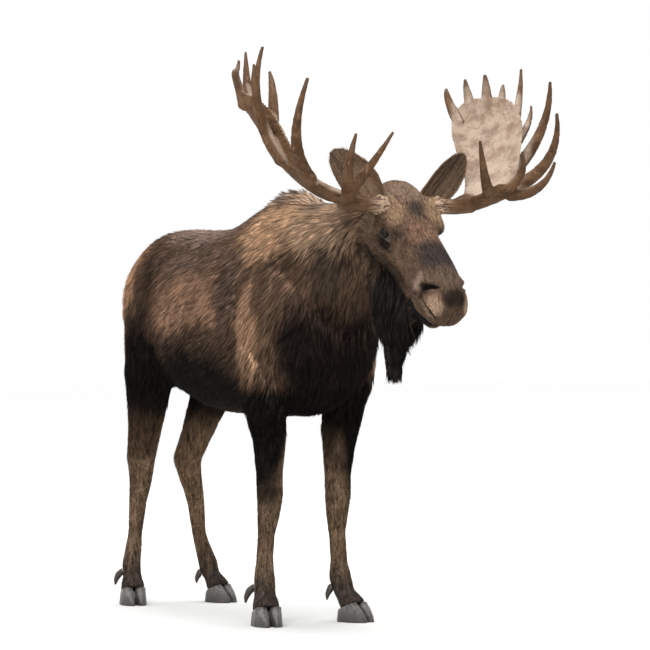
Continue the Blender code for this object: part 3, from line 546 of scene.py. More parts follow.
class Socket:
    """An output in a material's nodes. Sums, differences and products of values add Math nodes."""

    def __init__(self, tree, output):
        self.tree = tree
        self.output = output

    def node(self, kind, settings, inputs, output=0):
        """Any other node: its type, its settings, which come first, and its sockets' values or links."""
        made = self.tree.nodes.new("ShaderNode" + kind)
        for name, value in settings.items():
            setattr(made, name, value)
        for key, value in inputs.items():
            if isinstance(value, Socket):
                self.tree.links.new(value.output, made.inputs[key])
            else:
                made.inputs[key].default_value = value
        return Socket(self.tree, made.outputs[output])

    def math(self, operation, *values):
        return self.node("Math", {"operation": operation}, dict(enumerate(values)))

    def __add__(self, other):
        return self.math("ADD", self, other)

    def __sub__(self, other):
        return self.math("SUBTRACT", self, other)

    def __mul__(self, other):
        return self.math("MULTIPLY", self, other)

    def __radd__(self, other):
        return self.math("ADD", other, self)

    def __rsub__(self, other):
        return self.math("SUBTRACT", other, self)

    def __rmul__(self, other):
        return self.math("MULTIPLY", other, self)

    def greatest(self, other):
        return self.math("MAXIMUM", self, other)

    def size(self):
        return self.math("ABSOLUTE", self)

    def ease(self, low, high):
        """0 below low, 1 above high, and a smooth rise between them."""
        settings = {"interpolation_type": "SMOOTHSTEP"}
        return self.node("MapRange", settings, {0: self, 1: low, 2: high})

    def vector(self, operation, other, output=0):
        return self.node("VectorMath", {"operation": operation}, {0: self, 1: other}, output)

    def length(self):
        return self.vector("LENGTH", (0, 0, 0), "Value")

    def parts(self):
        return [self.node("SeparateXYZ", {}, {0: self}, axis) for axis in range(3)]

    def joined(self, second, third):
        """A vector of this value and two more."""
        return self.node("CombineXYZ", {}, {0: self, 1: second, 2: third})

    def grey(self):
        """This value as a colour."""
        return self.node("CombineColor", {}, {0: self, 1: self, 2: self})

    def mix(self, first, second):
        """The first colour where this value is 0, and the second where it is 1."""
        return self.node("Mix", {"data_type": "RGBA"}, {0: self, 6: shade(first), 7: shade(second)}, 2)

    def tint(self, colour):
        """This colour multiplied by another."""
        settings = {"data_type": "RGBA", "blend_type": "MULTIPLY"}
        return self.node("Mix", settings, {0: 1.0, 6: self, 7: shade(colour)}, 2)

    def noise(self, scale, detail, roughness=0.5, output=0):
        """An uneven value over this place, about 0.5."""
        inputs = {"Vector": self, "Scale": scale, "Detail": detail, "Roughness": roughness}
        return self.node("TexNoise", {}, inputs, output)


def shade(colour):
    return colour if isinstance(colour, Socket) else (*colour, 1)


class Finish:
    """A material with one Principled shader, whose even qualities are set straight on its sockets."""

    def __init__(self, name, roughness, specular, **even):
        self.material = bpy.data.materials.new(name)
        self.material.use_nodes = True
        self.tree = self.material.node_tree
        self.shader = self.tree.nodes["Principled BSDF"]
        self.shader.inputs["Roughness"].default_value = roughness
        self.shader.inputs["Specular IOR Level"].default_value = specular
        for quality, value in even.items():
            self.shader.inputs[quality.replace("_", " ")].default_value = value

    def attribute(self, name):
        return Socket(self.tree, None).node("Attribute", {"attribute_name": name}, {}, "Vector")

    def place(self):
        return Socket(self.tree, None).node("TexCoord", {}, {}, "Object")

    def paint(self, colour, bump=None, depth=0.0):
        """Gives the finish its colour, and a fine relief of that depth in metres."""
        self.tree.links.new(colour.output, self.shader.inputs["Base Color"])
        if bump is not None:
            relief = bump.node("Bump", {}, {"Height": bump, "Distance": depth})
            self.tree.links.new(relief.output, self.shader.inputs["Normal"])

    def dress(self, made):
        made.data.materials.clear()
        made.data.materials.append(self.material)


BROWN = (0.105, 0.064, 0.042)
LIGHT_BROWN = (0.165, 0.100, 0.064)
TAN = (0.560, 0.350, 0.212)
RED_BROWN = (0.385, 0.228, 0.148)
RUMP_BROWN = (0.560, 0.322, 0.190)
GREY_BROWN = (0.330, 0.232, 0.187)
SLATE_BROWN = (0.090, 0.064, 0.052)
CREST_GREY = (0.250, 0.190, 0.150)
CREST_DARK = (0.055, 0.046, 0.042)
DARK_BROWN = (0.040, 0.028, 0.022)
BLACK_BROWN = (0.0085, 0.0068, 0.0060)
LEG_TAN = (0.200, 0.131, 0.082)
LEG_BROWN = (0.108, 0.069, 0.043)
LEG_GREY = (0.056, 0.042, 0.034)
THIGH_BROWN = (0.075, 0.046, 0.028)
INNER_TAN = (0.190, 0.122, 0.074)
FACE_BROWN, FACE_TAN = (0.105, 0.066, 0.045), (0.140, 0.088, 0.058)

# The coat's markings, some with painted shade in them as noted: the middle of each field of colour, to the
# side of the body's middle, along it and up, then its half sizes, its colour and how fully it covers what
# lies under it.
BODY_FIELDS = (
    ((0.00, 0.52, 1.80), (0.24, 0.62, 0.13), GREY_BROWN, 0.85),  # back
    ((0.26, 0.32, 1.66), (0.14, 0.55, 0.10), (0.190, 0.128, 0.095), 0.6),  # top of the flank
    ((0.32, 0.34, 1.46), (0.24, 0.42, 0.19), RED_BROWN, 0.85),  # barrel
    ((0.05, 1.22, 1.57), (0.42, 0.30, 0.20), RUMP_BROWN, 1.0),  # edge of the rump
    ((0.27, 0.84, 1.54), (0.14, 0.10, 0.20), (0.036, 0.024, 0.018), 0.75),  # hip
    ((0.12, -0.25, 1.77), (0.24, 0.34, 0.17), TAN, 0.95),  # hump
    ((0.10, -0.58, 1.80), (0.20, 0.26, 0.14), (0.500, 0.335, 0.218), 0.9),  # top of the neck
    ((0.29, -0.02, 1.46), (0.12, 0.08, 0.22), SLATE_BROWN, 0.65),  # hollow behind the shoulder
    ((0.30, -0.24, 1.38), (0.13, 0.10, 0.27), (0.440, 0.268, 0.166), 0.85),  # shoulder's back edge
    ((0.25, -0.42, 1.52), (0.12, 0.14, 0.15), (0.165, 0.105, 0.070), 0.6),  # shoulder
    ((0.16, -0.56, 1.22), (0.22, 0.20, 0.30), (0.020, 0.015, 0.013), 0.95),  # shoulder's foot
    ((0.14, -0.66, 1.58), (0.10, 0.10, 0.18), (0.068, 0.050, 0.040), 0.7),  # neck's side
    ((0.03, -0.82, 1.60), (0.06, 0.09, 0.20), (0.150, 0.100, 0.066), 0.6),  # neck's front edge
    ((0.00, -0.60, 1.10), (0.42, 0.26, 0.36), (0.011, 0.008, 0.007), 1.0),  # chest
    ((0.05, -0.67, 1.45), (0.08, 0.08, 0.11), (0.095, 0.060, 0.040), 0.6),  # above the chest
    ((0.00, 0.34, 1.02), (1.20, 0.72, 0.38), BLACK_BROWN, 1.0),  # belly: near-black hair, and painted shade under the body
    ((0.00, -0.30, 0.98), (0.60, 0.50, 0.15), BLACK_BROWN, 1.0),  # brisket: near-black hair, and painted shade under the chest
    ((0.27, 0.90, 1.20), (1.20, 0.28, 0.28), BLACK_BROWN, 1.0),  # thigh
    ((0.30, -0.10, 1.14), (0.08, 0.06, 0.12), (0.075, 0.047, 0.030), 0.7),  # behind the elbow
    ((0.00, -0.24, 1.95), (0.15, 0.48, 0.11), CREST_GREY, 0.9),  # crest
    ((0.00, 1.34, 1.50), (0.05, 0.06, 0.14), DARK_BROWN, 0.8),  # tail
)
HEAD_FIELDS = (
    ((-0.045, 0.078, 0.115), (0.10, 0.055, 0.075), (0.260, 0.168, 0.102), 0.95),  # brow
    ((-0.14, 0.10, 0.0), (0.08, 0.06, 0.13), (0.175, 0.118, 0.085), 0.85),  # crown
    ((-0.038, 0.102, 0.0), (0.058, 0.05, 0.046), (0.060, 0.044, 0.034), 1.0),  # forehead
    ((0.09, 0.080, 0.04), (0.07, 0.05, 0.07), (0.165, 0.093, 0.061), 0.9),  # between the eyes
    ((0.225, 0.070, 0.0), (0.115, 0.065, 0.125), (0.038, 0.029, 0.026), 1.0),  # bridge
    ((0.345, 0.070, 0.0), (0.070, 0.06, 0.10), (0.100, 0.068, 0.049), 0.9),  # bridge's front
    ((0.288, -0.012, 0.10), (0.034, 0.06, 0.05), (0.260, 0.185, 0.142), 0.85),  # behind the nostril
    ((0.33, -0.090, 0.085), (0.09, 0.040, 0.05), (0.120, 0.081, 0.058), 0.9),  # side of the muzzle
    ((0.44, 0.0, 0.0), (0.07, 0.09, 0.07), (0.080, 0.052, 0.035), 0.95),  # nose's middle
    ((0.432, -0.012, 0.085), (0.056, 0.056, 0.042), (0.320, 0.214, 0.148), 0.95),  # nose's front
    ((0.468, -0.030, 0.0), (0.034, 0.045, 0.056), (0.100, 0.064, 0.042), 0.8),  # lip's front
    ((0.432, 0.034, 0.020), (0.052, 0.050, 0.050), (0.016, 0.011, 0.009), 0.85),  # bare patch
    ((0.008, -0.014, 0.14), (0.050, 0.032, 0.05), (0.026, 0.020, 0.016), 0.85),  # round the eye: painted shade in its socket and under the upper lid
    ((0.026, -0.046, 0.128), (0.056, 0.034, 0.05), (0.015, 0.011, 0.009), 0.92),  # below the eye: painted shade in the fold under the lower lid
    ((0.052, 0.022, 0.125), (0.022, 0.024, 0.05), (0.045, 0.030, 0.021), 0.9),  # before the eye: painted shade in the hollow there
    ((0.12, -0.12, 0.095), (0.16, 0.06, 0.08), (0.045, 0.029, 0.020), 0.85),  # cheek
    ((0.02, -0.19, 0.09), (0.24, 0.07, 0.12), (0.016, 0.012, 0.010), 0.95),  # jaw
    ((-0.12, -0.06, 0.134), (0.04, 0.12, 0.06), (0.130, 0.088, 0.060), 0.6),  # behind the jaw
    ((0.343, 0.006, 0.096), (0.034, 0.030, 0.03), (0.022, 0.014, 0.010), 0.95),  # round the nostril
    ((0.350, -0.032, 0.097), (0.022, 0.030, 0.03), (0.040, 0.026, 0.018), 0.8),  # below the nostril
    ((0.36, -0.205, 0.0), (0.20, 0.050, 0.16), (0.014, 0.012, 0.011), 1.0),  # lower lip and chin
)
# The lids' bare skin: its pale grey is partly a painted highlight along their rims.
LID_GREY_AND_HIGHLIGHT = (0.066, 0.056, 0.049)
# Painted shade inside the nostril's opening.
NOSTRIL_PAINTED_SHADE = (0.010, 0.008, 0.007)
# The lower lip's dark skin, and painted shadow under the upper lip along the mouth's line.
LIP_BLACK_AND_SHADOW = (0.007, 0.006, 0.006)
BELL_BLACK = (0.011, 0.009, 0.008)
FIELD_UNEVEN, FACE_UNEVEN = (0.26, 0.26, 0.26), (0.035, 0.035, 0.035)  # how far the fields' edges wander

# Heights on the legs between which one colour gives way to the next.
GREY_LEG_TOP = (0.14, 0.30)
THIGH_FOOT = (0.55, 0.86)
INNER_TAN_FOOT = (0.35, 0.55)
LEG_COLOUR_TOP = (0.80, 1.04)
BLACK_FORELEG_FOOT, BLACK_FORELEG_TOP = (0.42, 0.70), (1.05, 1.15)
BLACK_THIGH_TOP = (1.15, 1.25)
HINDLEGS_FRONT = (0.1, 0.3)  # along the body
THROAT_TOP, THROAT_BACK = (1.46, 1.62), (-0.84, -0.76)  # its height, and a place along the body


def field(place, middle_place, sizes):
    """1 in the middle of a rounded field and 0 outside it."""
    shrunk = place.vector("SUBTRACT", middle_place).vector("MULTIPLY", [1 / size for size in sizes])
    return 1 - shrunk.length().ease(0.45, 1.15)


def markings_and_painted_shade(finish):
    """The hide's colours, by place, with painted shade in a few fields. The skin's own place and each tuft's
    root give the same colour.
    """
    root = finish.attribute("root")
    on_face, bell = finish.attribute("zone").parts()[:2]
    tone = finish.attribute("tuft").parts()[2]
    uneven = root.noise(5.0, 3.0, output="Color").vector("SUBTRACT", (0.5, 0.5, 0.5))
    x, along, height = root.parts()
    side = (x - BODY_X).size()
    place = side.joined(along, height + (tone - 0.5) * 0.06)
    place = place.vector("ADD", uneven.vector("MULTIPLY", FIELD_UNEVEN))
    patchy = root.noise(9.0, 3.0)
    colour = patchy.ease(0.35, 0.7).mix(BROWN, LIGHT_BROWN)
    for middle_place, sizes, shade_of_field, cover in BODY_FIELDS:
        colour = (field(place, middle_place, sizes) * cover).mix(colour, shade_of_field)

    brindle = root.vector("MULTIPLY", (1, 1, 0.5)).noise(20.0, 3.0)
    colour = (brindle.ease(0.50, 0.70) * 0.45).mix(colour, DARK_BROWN)
    crest = (height + (brindle - 0.5) * 0.1).ease(*CREST_FOOT) * (1 - side.ease(0.06, 0.14))
    colour = (crest * (1 - tone.ease(0.45, 0.80)) * 0.85).mix(colour, CREST_DARK)

    inner = 1 - (side - (x - BODY_X) * 0.15).ease(0.13, 0.21)
    upper = height + (patchy - 0.5) * 0.20 + (tone - 0.5) * 0.08
    hind = along.ease(*HINDLEGS_FRONT)
    lower_leg = patchy.ease(0.3, 0.7).mix(LEG_TAN, LEG_BROWN)
    lower_leg = (1 - upper.ease(*GREY_LEG_TOP)).mix(lower_leg, LEG_GREY)
    lower_leg = (hind * upper.ease(*THIGH_FOOT)).mix(lower_leg, THIGH_BROWN)
    lower_leg = (hind * inner * upper.ease(*INNER_TAN_FOOT)).mix(lower_leg, INNER_TAN)
    colour = (1 - upper.ease(*LEG_COLOUR_TOP)).mix(colour, lower_leg)
    fore = upper - inner * 0.28
    dark_fore = (1 - hind) * fore.ease(*BLACK_FORELEG_FOOT) * (1 - upper.ease(*BLACK_FORELEG_TOP))
    colour = dark_fore.mix(colour, BLACK_BROWN)
    dark_hind = hind * upper.ease(*LEG_COLOUR_TOP) * (1 - upper.ease(*BLACK_THIGH_TOP))
    colour = dark_hind.mix(colour, BLACK_BROWN)

    seen = root.vector("SUBTRACT", HEAD_MIDDLE)
    face_along, face_out, face_side = (seen.vector("DOT_PRODUCT", axis, "Value")
                                       for axis in (ALONG, OUT, HEAD_LEFT))
    face_place = face_along.joined(face_out, face_side.size())
    face_place = face_place.vector("ADD", uneven.vector("MULTIPLY", FACE_UNEVEN))
    face = patchy.ease(0.35, 0.65).mix(FACE_BROWN, FACE_TAN)
    for middle_place, sizes, shade_of_field, cover in HEAD_FIELDS:
        face = (field(face_place, middle_place, sizes) * cover).mix(face, shade_of_field)
    under_jaw = (1 - face_out.ease(-0.185, -0.150)) * face_along.ease(-0.08, 0.0)
    face = under_jaw.mix(face, BELL_BLACK)
    colour = on_face.mix(colour, face)
    throat = (1 - height.ease(*THROAT_TOP)) * (1 - along.ease(*THROAT_BACK)) * (1 - on_face)
    return bell.greatest(throat).mix(colour, BELL_BLACK)


def unit(vectors):
    return vectors / np.maximum(np.linalg.norm(vectors, axis=1), 1e-9)[:, None]


def streaks(points, edges, ways, rounds, chance):
    """An uneven value drawn out along the given ways, with a mean of 0 and a spread of 1."""
    step = unit(points[edges[:, 1]] - points[edges[:, 0]])
    aligned = np.abs((step * (ways[edges[:, 0]] + ways[edges[:, 1]]) / 2).sum(axis=1)) ** 8 + 0.002
    value = chance.normal(size=(len(points), 1))
    for _ in range(rounds):
        value = 0.35 * value + 0.65 * neighbour_mean(value, edges, aligned)
    return (value[:, 0] - value.mean()) / value.std()


# The way the coat lies: a place to one side of the body's middle, along it and up, and the hair's way
# there, outwards, backwards and up. Each counts most within the reach of its place.
COAT_LIE = (
    ((0.00, -0.14, 1.94), (0.10, 1.0, 0.20)), ((0.00, 0.40, 1.80), (0.30, 1.0, -0.10)),
    ((0.00, 1.10, 1.74), (0.20, 1.0, -0.40)), ((0.10, 1.32, 1.50), (0.00, 0.2, -1.00)),
    ((0.28, 0.30, 1.62), (0.20, 1.0, -0.80)), ((0.33, 0.40, 1.35), (0.00, 1.0, -0.95)),
    ((0.30, 0.30, 1.08), (-0.2, 1.0, -0.30)), ((0.00, 0.30, 0.94), (0.00, 1.0, 0.00)),
    ((0.30, 1.00, 1.50), (0.10, 0.6, -1.00)), ((0.28, 1.05, 1.15), (0.00, 0.15, -1.0)),
    ((0.20, -0.25, 1.78), (0.40, 1.0, -0.90)), ((0.30, -0.30, 1.45), (0.10, 0.7, -1.00)),
    ((0.25, -0.35, 1.10), (0.00, 0.3, -1.00)), ((0.00, -0.57, 1.30), (0.00, -0.1, -1.0)),
    ((0.10, -0.40, 1.00), (0.00, 0.6, -0.80)), ((0.05, -0.60, 1.86), (0.30, 1.0, -0.30)),
    ((0.20, -0.60, 1.62), (0.15, 0.6, -1.00)), ((0.14, -0.74, 1.38), (0.00, 0.2, -1.00)),
    ((0.15, -0.85, 1.62), (0.10, 0.25, -1.0)), ((0.00, -0.92, 1.40), (0.00, 0.0, -1.00)),
    ((0.32, -0.03, 1.12), (0.00, 1.0, -0.60)),
)
LIE_REACH = 0.20
LEG_LIE, BELL_LIE = (0, 0.12, -1.0), (0, 0.05, -1.0)


def lie_of_coat(points, normals):
    """The way the hair lies at each point, along the skin."""
    outward = np.sign(points[:, 0] - BODY_X)
    places = np.column_stack((np.abs(points[:, 0] - BODY_X), points[:, 1], points[:, 2]))
    way = np.zeros_like(points)
    for place, lie in COAT_LIE:
        near = np.exp(-((places - place) ** 2).sum(axis=1) / LIE_REACH ** 2) + 1e-7
        way += near[:, None] * np.array(lie)
    way[:, 0] *= outward
    way = unit(way)
    head, bell, leg = zones(points).T
    way += (np.array(LEG_LIE) - way) * leg[:, None]
    way += (np.array(BELL_LIE) - way) * bell[:, None]
    out = head_place(points)[:, 1]
    to_poll = -np.array(ALONG) - np.array(OUT) * ease(-out, 0.0, 0.15)[:, None] * 0.5
    way += (to_poll - way) * head[:, None]
    way -= normals * (way * normals).sum(axis=1)[:, None]
    return unit(way)


COAT_SEED = 11
STREAK_ROUNDS = 24
SKIN_ALONG = 0.4  # the skin takes the colour of a tuft this far along it

chance = np.random.default_rng(COAT_SEED)
unwrap(hide)
points, edges = points_of(hide.data), edges_of(hide.data)
streak = streaks(points, edges, lie_of_coat(points, normals_of(hide.data)), STREAK_ROUNDS, chance)
streak = np.clip(0.5 + 0.2 * streak, 0, 1)
add_vectors(hide.data, "root", points)
add_vectors(hide.data, "zone", zones(points))
add_vectors(hide.data, "bare", bare)
middle_line, along_tuft = np.zeros(len(points)), np.full(len(points), SKIN_ALONG)
add_vectors(hide.data, "tuft", np.column_stack((middle_line, along_tuft, streak)))

hide_finish = Finish("hide", roughness=0.8, specular=0.05)
root = hide_finish.attribute("root")
tone = hide_finish.attribute("tuft").parts()[2]
lid, hollow, lip = hide_finish.attribute("bare").parts()
fine = root.noise(260.0, 2.0)
# The skin's tint: tone that differs at random, about a base of 0.62 that darkens the skin as painted shade in
# the gaps under the coat.
tone_and_painted_shade = (tone - 0.5) * 0.8 + (fine - 0.5) * 0.3 + 0.62
colour = markings_and_painted_shade(hide_finish).tint(tone_and_painted_shade.grey())
# The lids' bare skin, pale grey that is partly a painted highlight along their rims.
colour = lid.ease(0.2, 0.8).mix(colour, LID_GREY_AND_HIGHLIGHT)
# Black lower lip, and painted shadow under the upper lip along the mouth's line.
colour = lip.ease(0.35, 0.75).mix(colour, LIP_BLACK_AND_SHADOW)
# Painted shade inside the nostril's opening.
colour = hollow.ease(0.25, 0.7).mix(colour, NOSTRIL_PAINTED_SHADE)
hide_finish.paint(colour, bump=fine, depth=0.0012)
hide_finish.dress(hide)
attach(hide, "root")
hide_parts(*FLESH)

# ---------------------------------------------------------------- the coat
# Coarse guard hair over the whole hide, in thin overlapping locks that lie
# backwards and down. It is longest on the hump, neck and bell, and very
# short on the face and feet.

LOCKS, HAIRS = ((14000, 296000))


def waves(points, length, seed):
    """A smooth uneven value from -1 to 1, whose swells are about this long."""
    chance = np.random.default_rng(seed)
    value = np.zeros(len(points))
    for _ in range(6):
        way = chance.normal(size=3)
        way /= np.linalg.norm(way)
        phase = points @ way * (2 * math.pi / length) * chance.uniform(0.7, 1.5)
        value += np.sin(phase + chance.uniform(0, 6.3))
    return value / 3


# The hair on the trunk, neck, crest, leg, foot, head, nose and bell.
HAIR_LENGTHS = (0.056, 0.066, 0.085, 0.036, 0.015, 0.017, 0.008, 0.110)
HAIR_HALF_WIDTHS = (0.0022, 0.0022, 0.0024, 0.0015, 0.0011, 0.0009, 0.0007, 0.0022)
HAIR_RISES = (0.80, 0.85, 1.00, 0.75, 0.7, 0.65, 0.6, 0.7)  # of the coat's depth
HAIR_SPACINGS = (0.0044, 0.0043, 0.0062, 0.0052, 0.0042, 0.0034, 0.0029, 0.0060)
NECK_BACK = (-0.5, -0.1)  # along the body
NOSE_BACK = (0.1, 0.3)  # along the face
FOOT_TOP = (0.15, 0.9)


def coat_growth(points):
    """Each place's hair: its length, half width, rise of the tip above the skin, and spacing."""
    height = points[:, 2]
    head, bell, leg = zones(points).T
    crest = crest_share(points)
    neck = (1 - ease(points[:, 1], *NECK_BACK)) * (1 - head)
    nose = ease(head_place(points)[:, 0], *NOSE_BACK)

    def grown(trunk, on_neck, on_crest, on_leg, on_foot, on_head, on_nose, on_bell):
        value = trunk + (on_neck - trunk) * neck
        value = value + (on_crest - value) * crest
        low = on_foot + (on_leg - on_foot) * ease(height, *FOOT_TOP)
        value = value + (low - value) * leg
        face = on_head + (on_nose - on_head) * nose
        value = value + (face - value) * head
        return value + (on_bell - value) * bell

    rise = coat_depth(points) * grown(*HAIR_RISES)
    return grown(*HAIR_LENGTHS), grown(*HAIR_HALF_WIDTHS), rise, grown(*HAIR_SPACINGS)


def coat_roots(mesh, crowd, count, chance, *carried):
    """Random places on the skin: with normals, places on its unwrap, and other values that it carries."""
    mesh.calc_loop_triangles()
    corners = np.empty(len(mesh.loop_triangles) * 3, np.int32)
    mesh.loop_triangles.foreach_get("vertices", corners)
    corners = corners.reshape(-1, 3)
    loops = np.empty(len(mesh.loop_triangles) * 3, np.int32)
    mesh.loop_triangles.foreach_get("loops", loops)
    loops = loops.reshape(-1, 3)
    flat = np.empty(len(mesh.loops) * 2, np.float32)
    mesh.uv_layers["OFBake"].data.foreach_get("uv", flat)
    flat = flat.reshape(-1, 2)
    points = points_of(mesh)
    a, b, c = (points[corners[:, i]] for i in range(3))
    areas = np.linalg.norm(np.cross(b - a, c - a), axis=1) / 2
    weight = areas * crowd[corners].mean(axis=1)
    chosen = np.searchsorted(np.cumsum(weight), chance.uniform(0, weight.sum(), count))
    chosen = np.minimum(chosen, len(weight) - 1)
    first, second = np.sqrt(chance.uniform(size=count)), chance.uniform(size=count)
    shares = np.column_stack((1 - first, first * (1 - second), first * second))[:, :, None]
    skin = (points, normals_of(mesh), *carried)
    place, normal, *others = ((values[corners[chosen]] * shares).sum(axis=1) for values in skin)
    return place, unit(normal), (flat[loops[chosen]] * shares).sum(axis=1), *others


LOCK = ((0.0, 0.7), (0.45, 1.0))  # a lock's stations from its root, and how broad it is at each
HAIR = ((0.0, 1.0),)
TUFT_THICKNESS = 0.45  # of its breadth
TUFT_BOW = 0.06  # of its length, outwards
TUFT_ROOT = 0.0012  # how deep it starts in the skin
TUFT_PATCH = 0.003  # each tuft's size on the unwrap


def tuft_mesh(name, shape, roots, ways, normals, widths, tips, tones, flats, attributes):
    """Closed three-sided tufts, from a root in the skin to a point."""
    count = len(roots)
    across = np.cross(normals, ways)
    reach = np.linalg.norm(tips - roots, axis=1)
    rows, marks, flat_rows = [], [], []
    for station, breadth in shape:
        centre = roots + (tips - roots) * station
        centre = centre + normals * (reach * TUFT_BOW * (station > 0) - TUFT_ROOT * (station == 0))[:, None]
        for turn, lift in ((-1, 0), (1, 0), (0, 1)):
            rows.append(centre + across * (turn * breadth * widths)[:, None]
                        + normals * (lift * breadth * widths * TUFT_THICKNESS * 2)[:, None])
            marks.append(np.column_stack((np.full(count, turn), np.full(count, station), tones)))
            flat_rows.append(flats + np.array((turn * 0.5, station - 0.5)) * TUFT_PATCH)
    rows.append(tips)
    marks.append(np.column_stack((np.zeros(count), np.ones(count), tones)))
    flat_rows.append(flats + np.array((0, 0.5)) * TUFT_PATCH)
    pattern = [(0, 2, 1)]
    for ring in range(len(shape) - 1):
        low, high = ring * 3, ring * 3 + 3
        for here, there in ((0, 1), (1, 2), (2, 0)):
            pattern += [(low + here, low + there, high + there), (low + here, high + there, high + here)]
    last, tip = len(shape) * 3 - 3, len(shape) * 3
    pattern += [(last, last + 1, tip), (last + 1, last + 2, tip), (last + 2, last, tip)]
    each = tip + 1
    corners = (np.arange(count) * each)[:, None, None] + np.array(pattern)
    vectors = {key: np.repeat(values, each, axis=0) for key, values in attributes.items()}
    vectors["root"] = np.repeat(roots, each, axis=0)
    vectors["tuft"] = np.stack(marks, axis=1).reshape(-1, 3)
    return solid_mesh(name, np.stack(rows, axis=1).reshape(-1, 3), corners.reshape(-1, 3), vectors,
                      np.stack(flat_rows, axis=1).reshape(-1, 2))


def solid_mesh(name, points, corners, vectors, flats):
    """A piece of triangles, with its vertices' vectors and their places on the unwrap."""
    mesh = bpy.data.meshes.new(name)
    mesh.vertices.add(len(points))
    mesh.vertices.foreach_set("co", points.astype(np.float32).ravel())
    mesh.loops.add(corners.size)
    mesh.loops.foreach_set("vertex_index", corners.astype(np.int32).ravel())
    mesh.polygons.add(len(corners))
    mesh.polygons.foreach_set("loop_start", np.arange(0, corners.size, 3, dtype=np.int32))
    mesh.update(calc_edges=True)
    mesh.shade_smooth()
    for key, values in vectors.items():
        add_vectors(mesh, key, values)
    layer = mesh.uv_layers.new(name="OFBake")
    layer.data.foreach_set("uv", flats[corners.ravel()].astype(np.float32).ravel())
    return placed(name, mesh)


GATHER_REACH = 1.2  # of a tuft's length: a tip further than this from its lock's is left alone


def gathered(roots, tips, pull, chance, each):
    """Tips drawn towards their lock's tip, and each lock's own tone."""
    heads = chance.choice(len(roots), len(roots) // each, replace=False)
    tree = KDTree(len(heads))
    for number, head in enumerate(heads):
        tree.insert(roots[head], number)
    tree.balance()
    lock = np.array([tree.find(root)[1] for root in roots])
    drawn = tips[heads[lock]] - roots
    own = tips - roots
    reach = np.linalg.norm(own, axis=1)
    wish = own + (drawn - own) * pull[:, None]
    wish *= (reach / np.maximum(np.linalg.norm(wish, axis=1), 1e-6))[:, None]
    far = np.linalg.norm(tips[heads[lock]] - tips, axis=1) > reach * GATHER_REACH
    return np.where(far[:, None], tips, roots + wish), chance.uniform(size=len(heads))[lock]


coat_finish = Finish("coat", roughness=0.8, specular=0.04)
tuft = coat_finish.attribute("tuft")
across, along, tone = tuft.parts()
strands = (across * 3.0 + tone * 37.0).joined(along * 1.2, tone * 11.0).noise(1.4, 2.0)
# Each tuft is painted darker towards its root and lighter towards its tip, as painted shade deep in the coat;
# its tone also differs at random by streak, lock and strand.
tone_and_painted_shade = ((tone - 0.5) * 2.4 + (along - SKIN_ALONG) * 0.80 + (strands - 0.5) * 0.4 + 0.98).greatest(0.10)
coat_finish.paint(markings_and_painted_shade(coat_finish).tint(tone_and_painted_shade.grey()), bump=strands, depth=0.0005)

HAIR_SHARES = (0.75, 1.2)  # how a hair's length varies
RISE_SHARES = (0.45, 1.15)
SWELLS = ((0.20, 0.14, 5), (0.12, 0.05, 6))  # how far the hair sways, over what length, and a seed
SWAY_CHANCE = 0.08
BELL_ENDS = (-0.010, 0.032)  # how far below its solid's lower end the bell's hair may hang
SHORTEST = 0.008  # of the bell's hair
PULL, HEAD_PULL, LEG_PULL = 0.75, -0.55, -0.35  # how far a hair is drawn to its lock, and what that loses
STREAK_TONE, LOCK_TONE, OWN_TONE = 0.22, 0.58, 0.20
FORELEGS_BACK = 0.3  # along the body, as the next three
NECK_END, SHOULDER_END, BARREL_END = -0.42, 0.12, 0.66

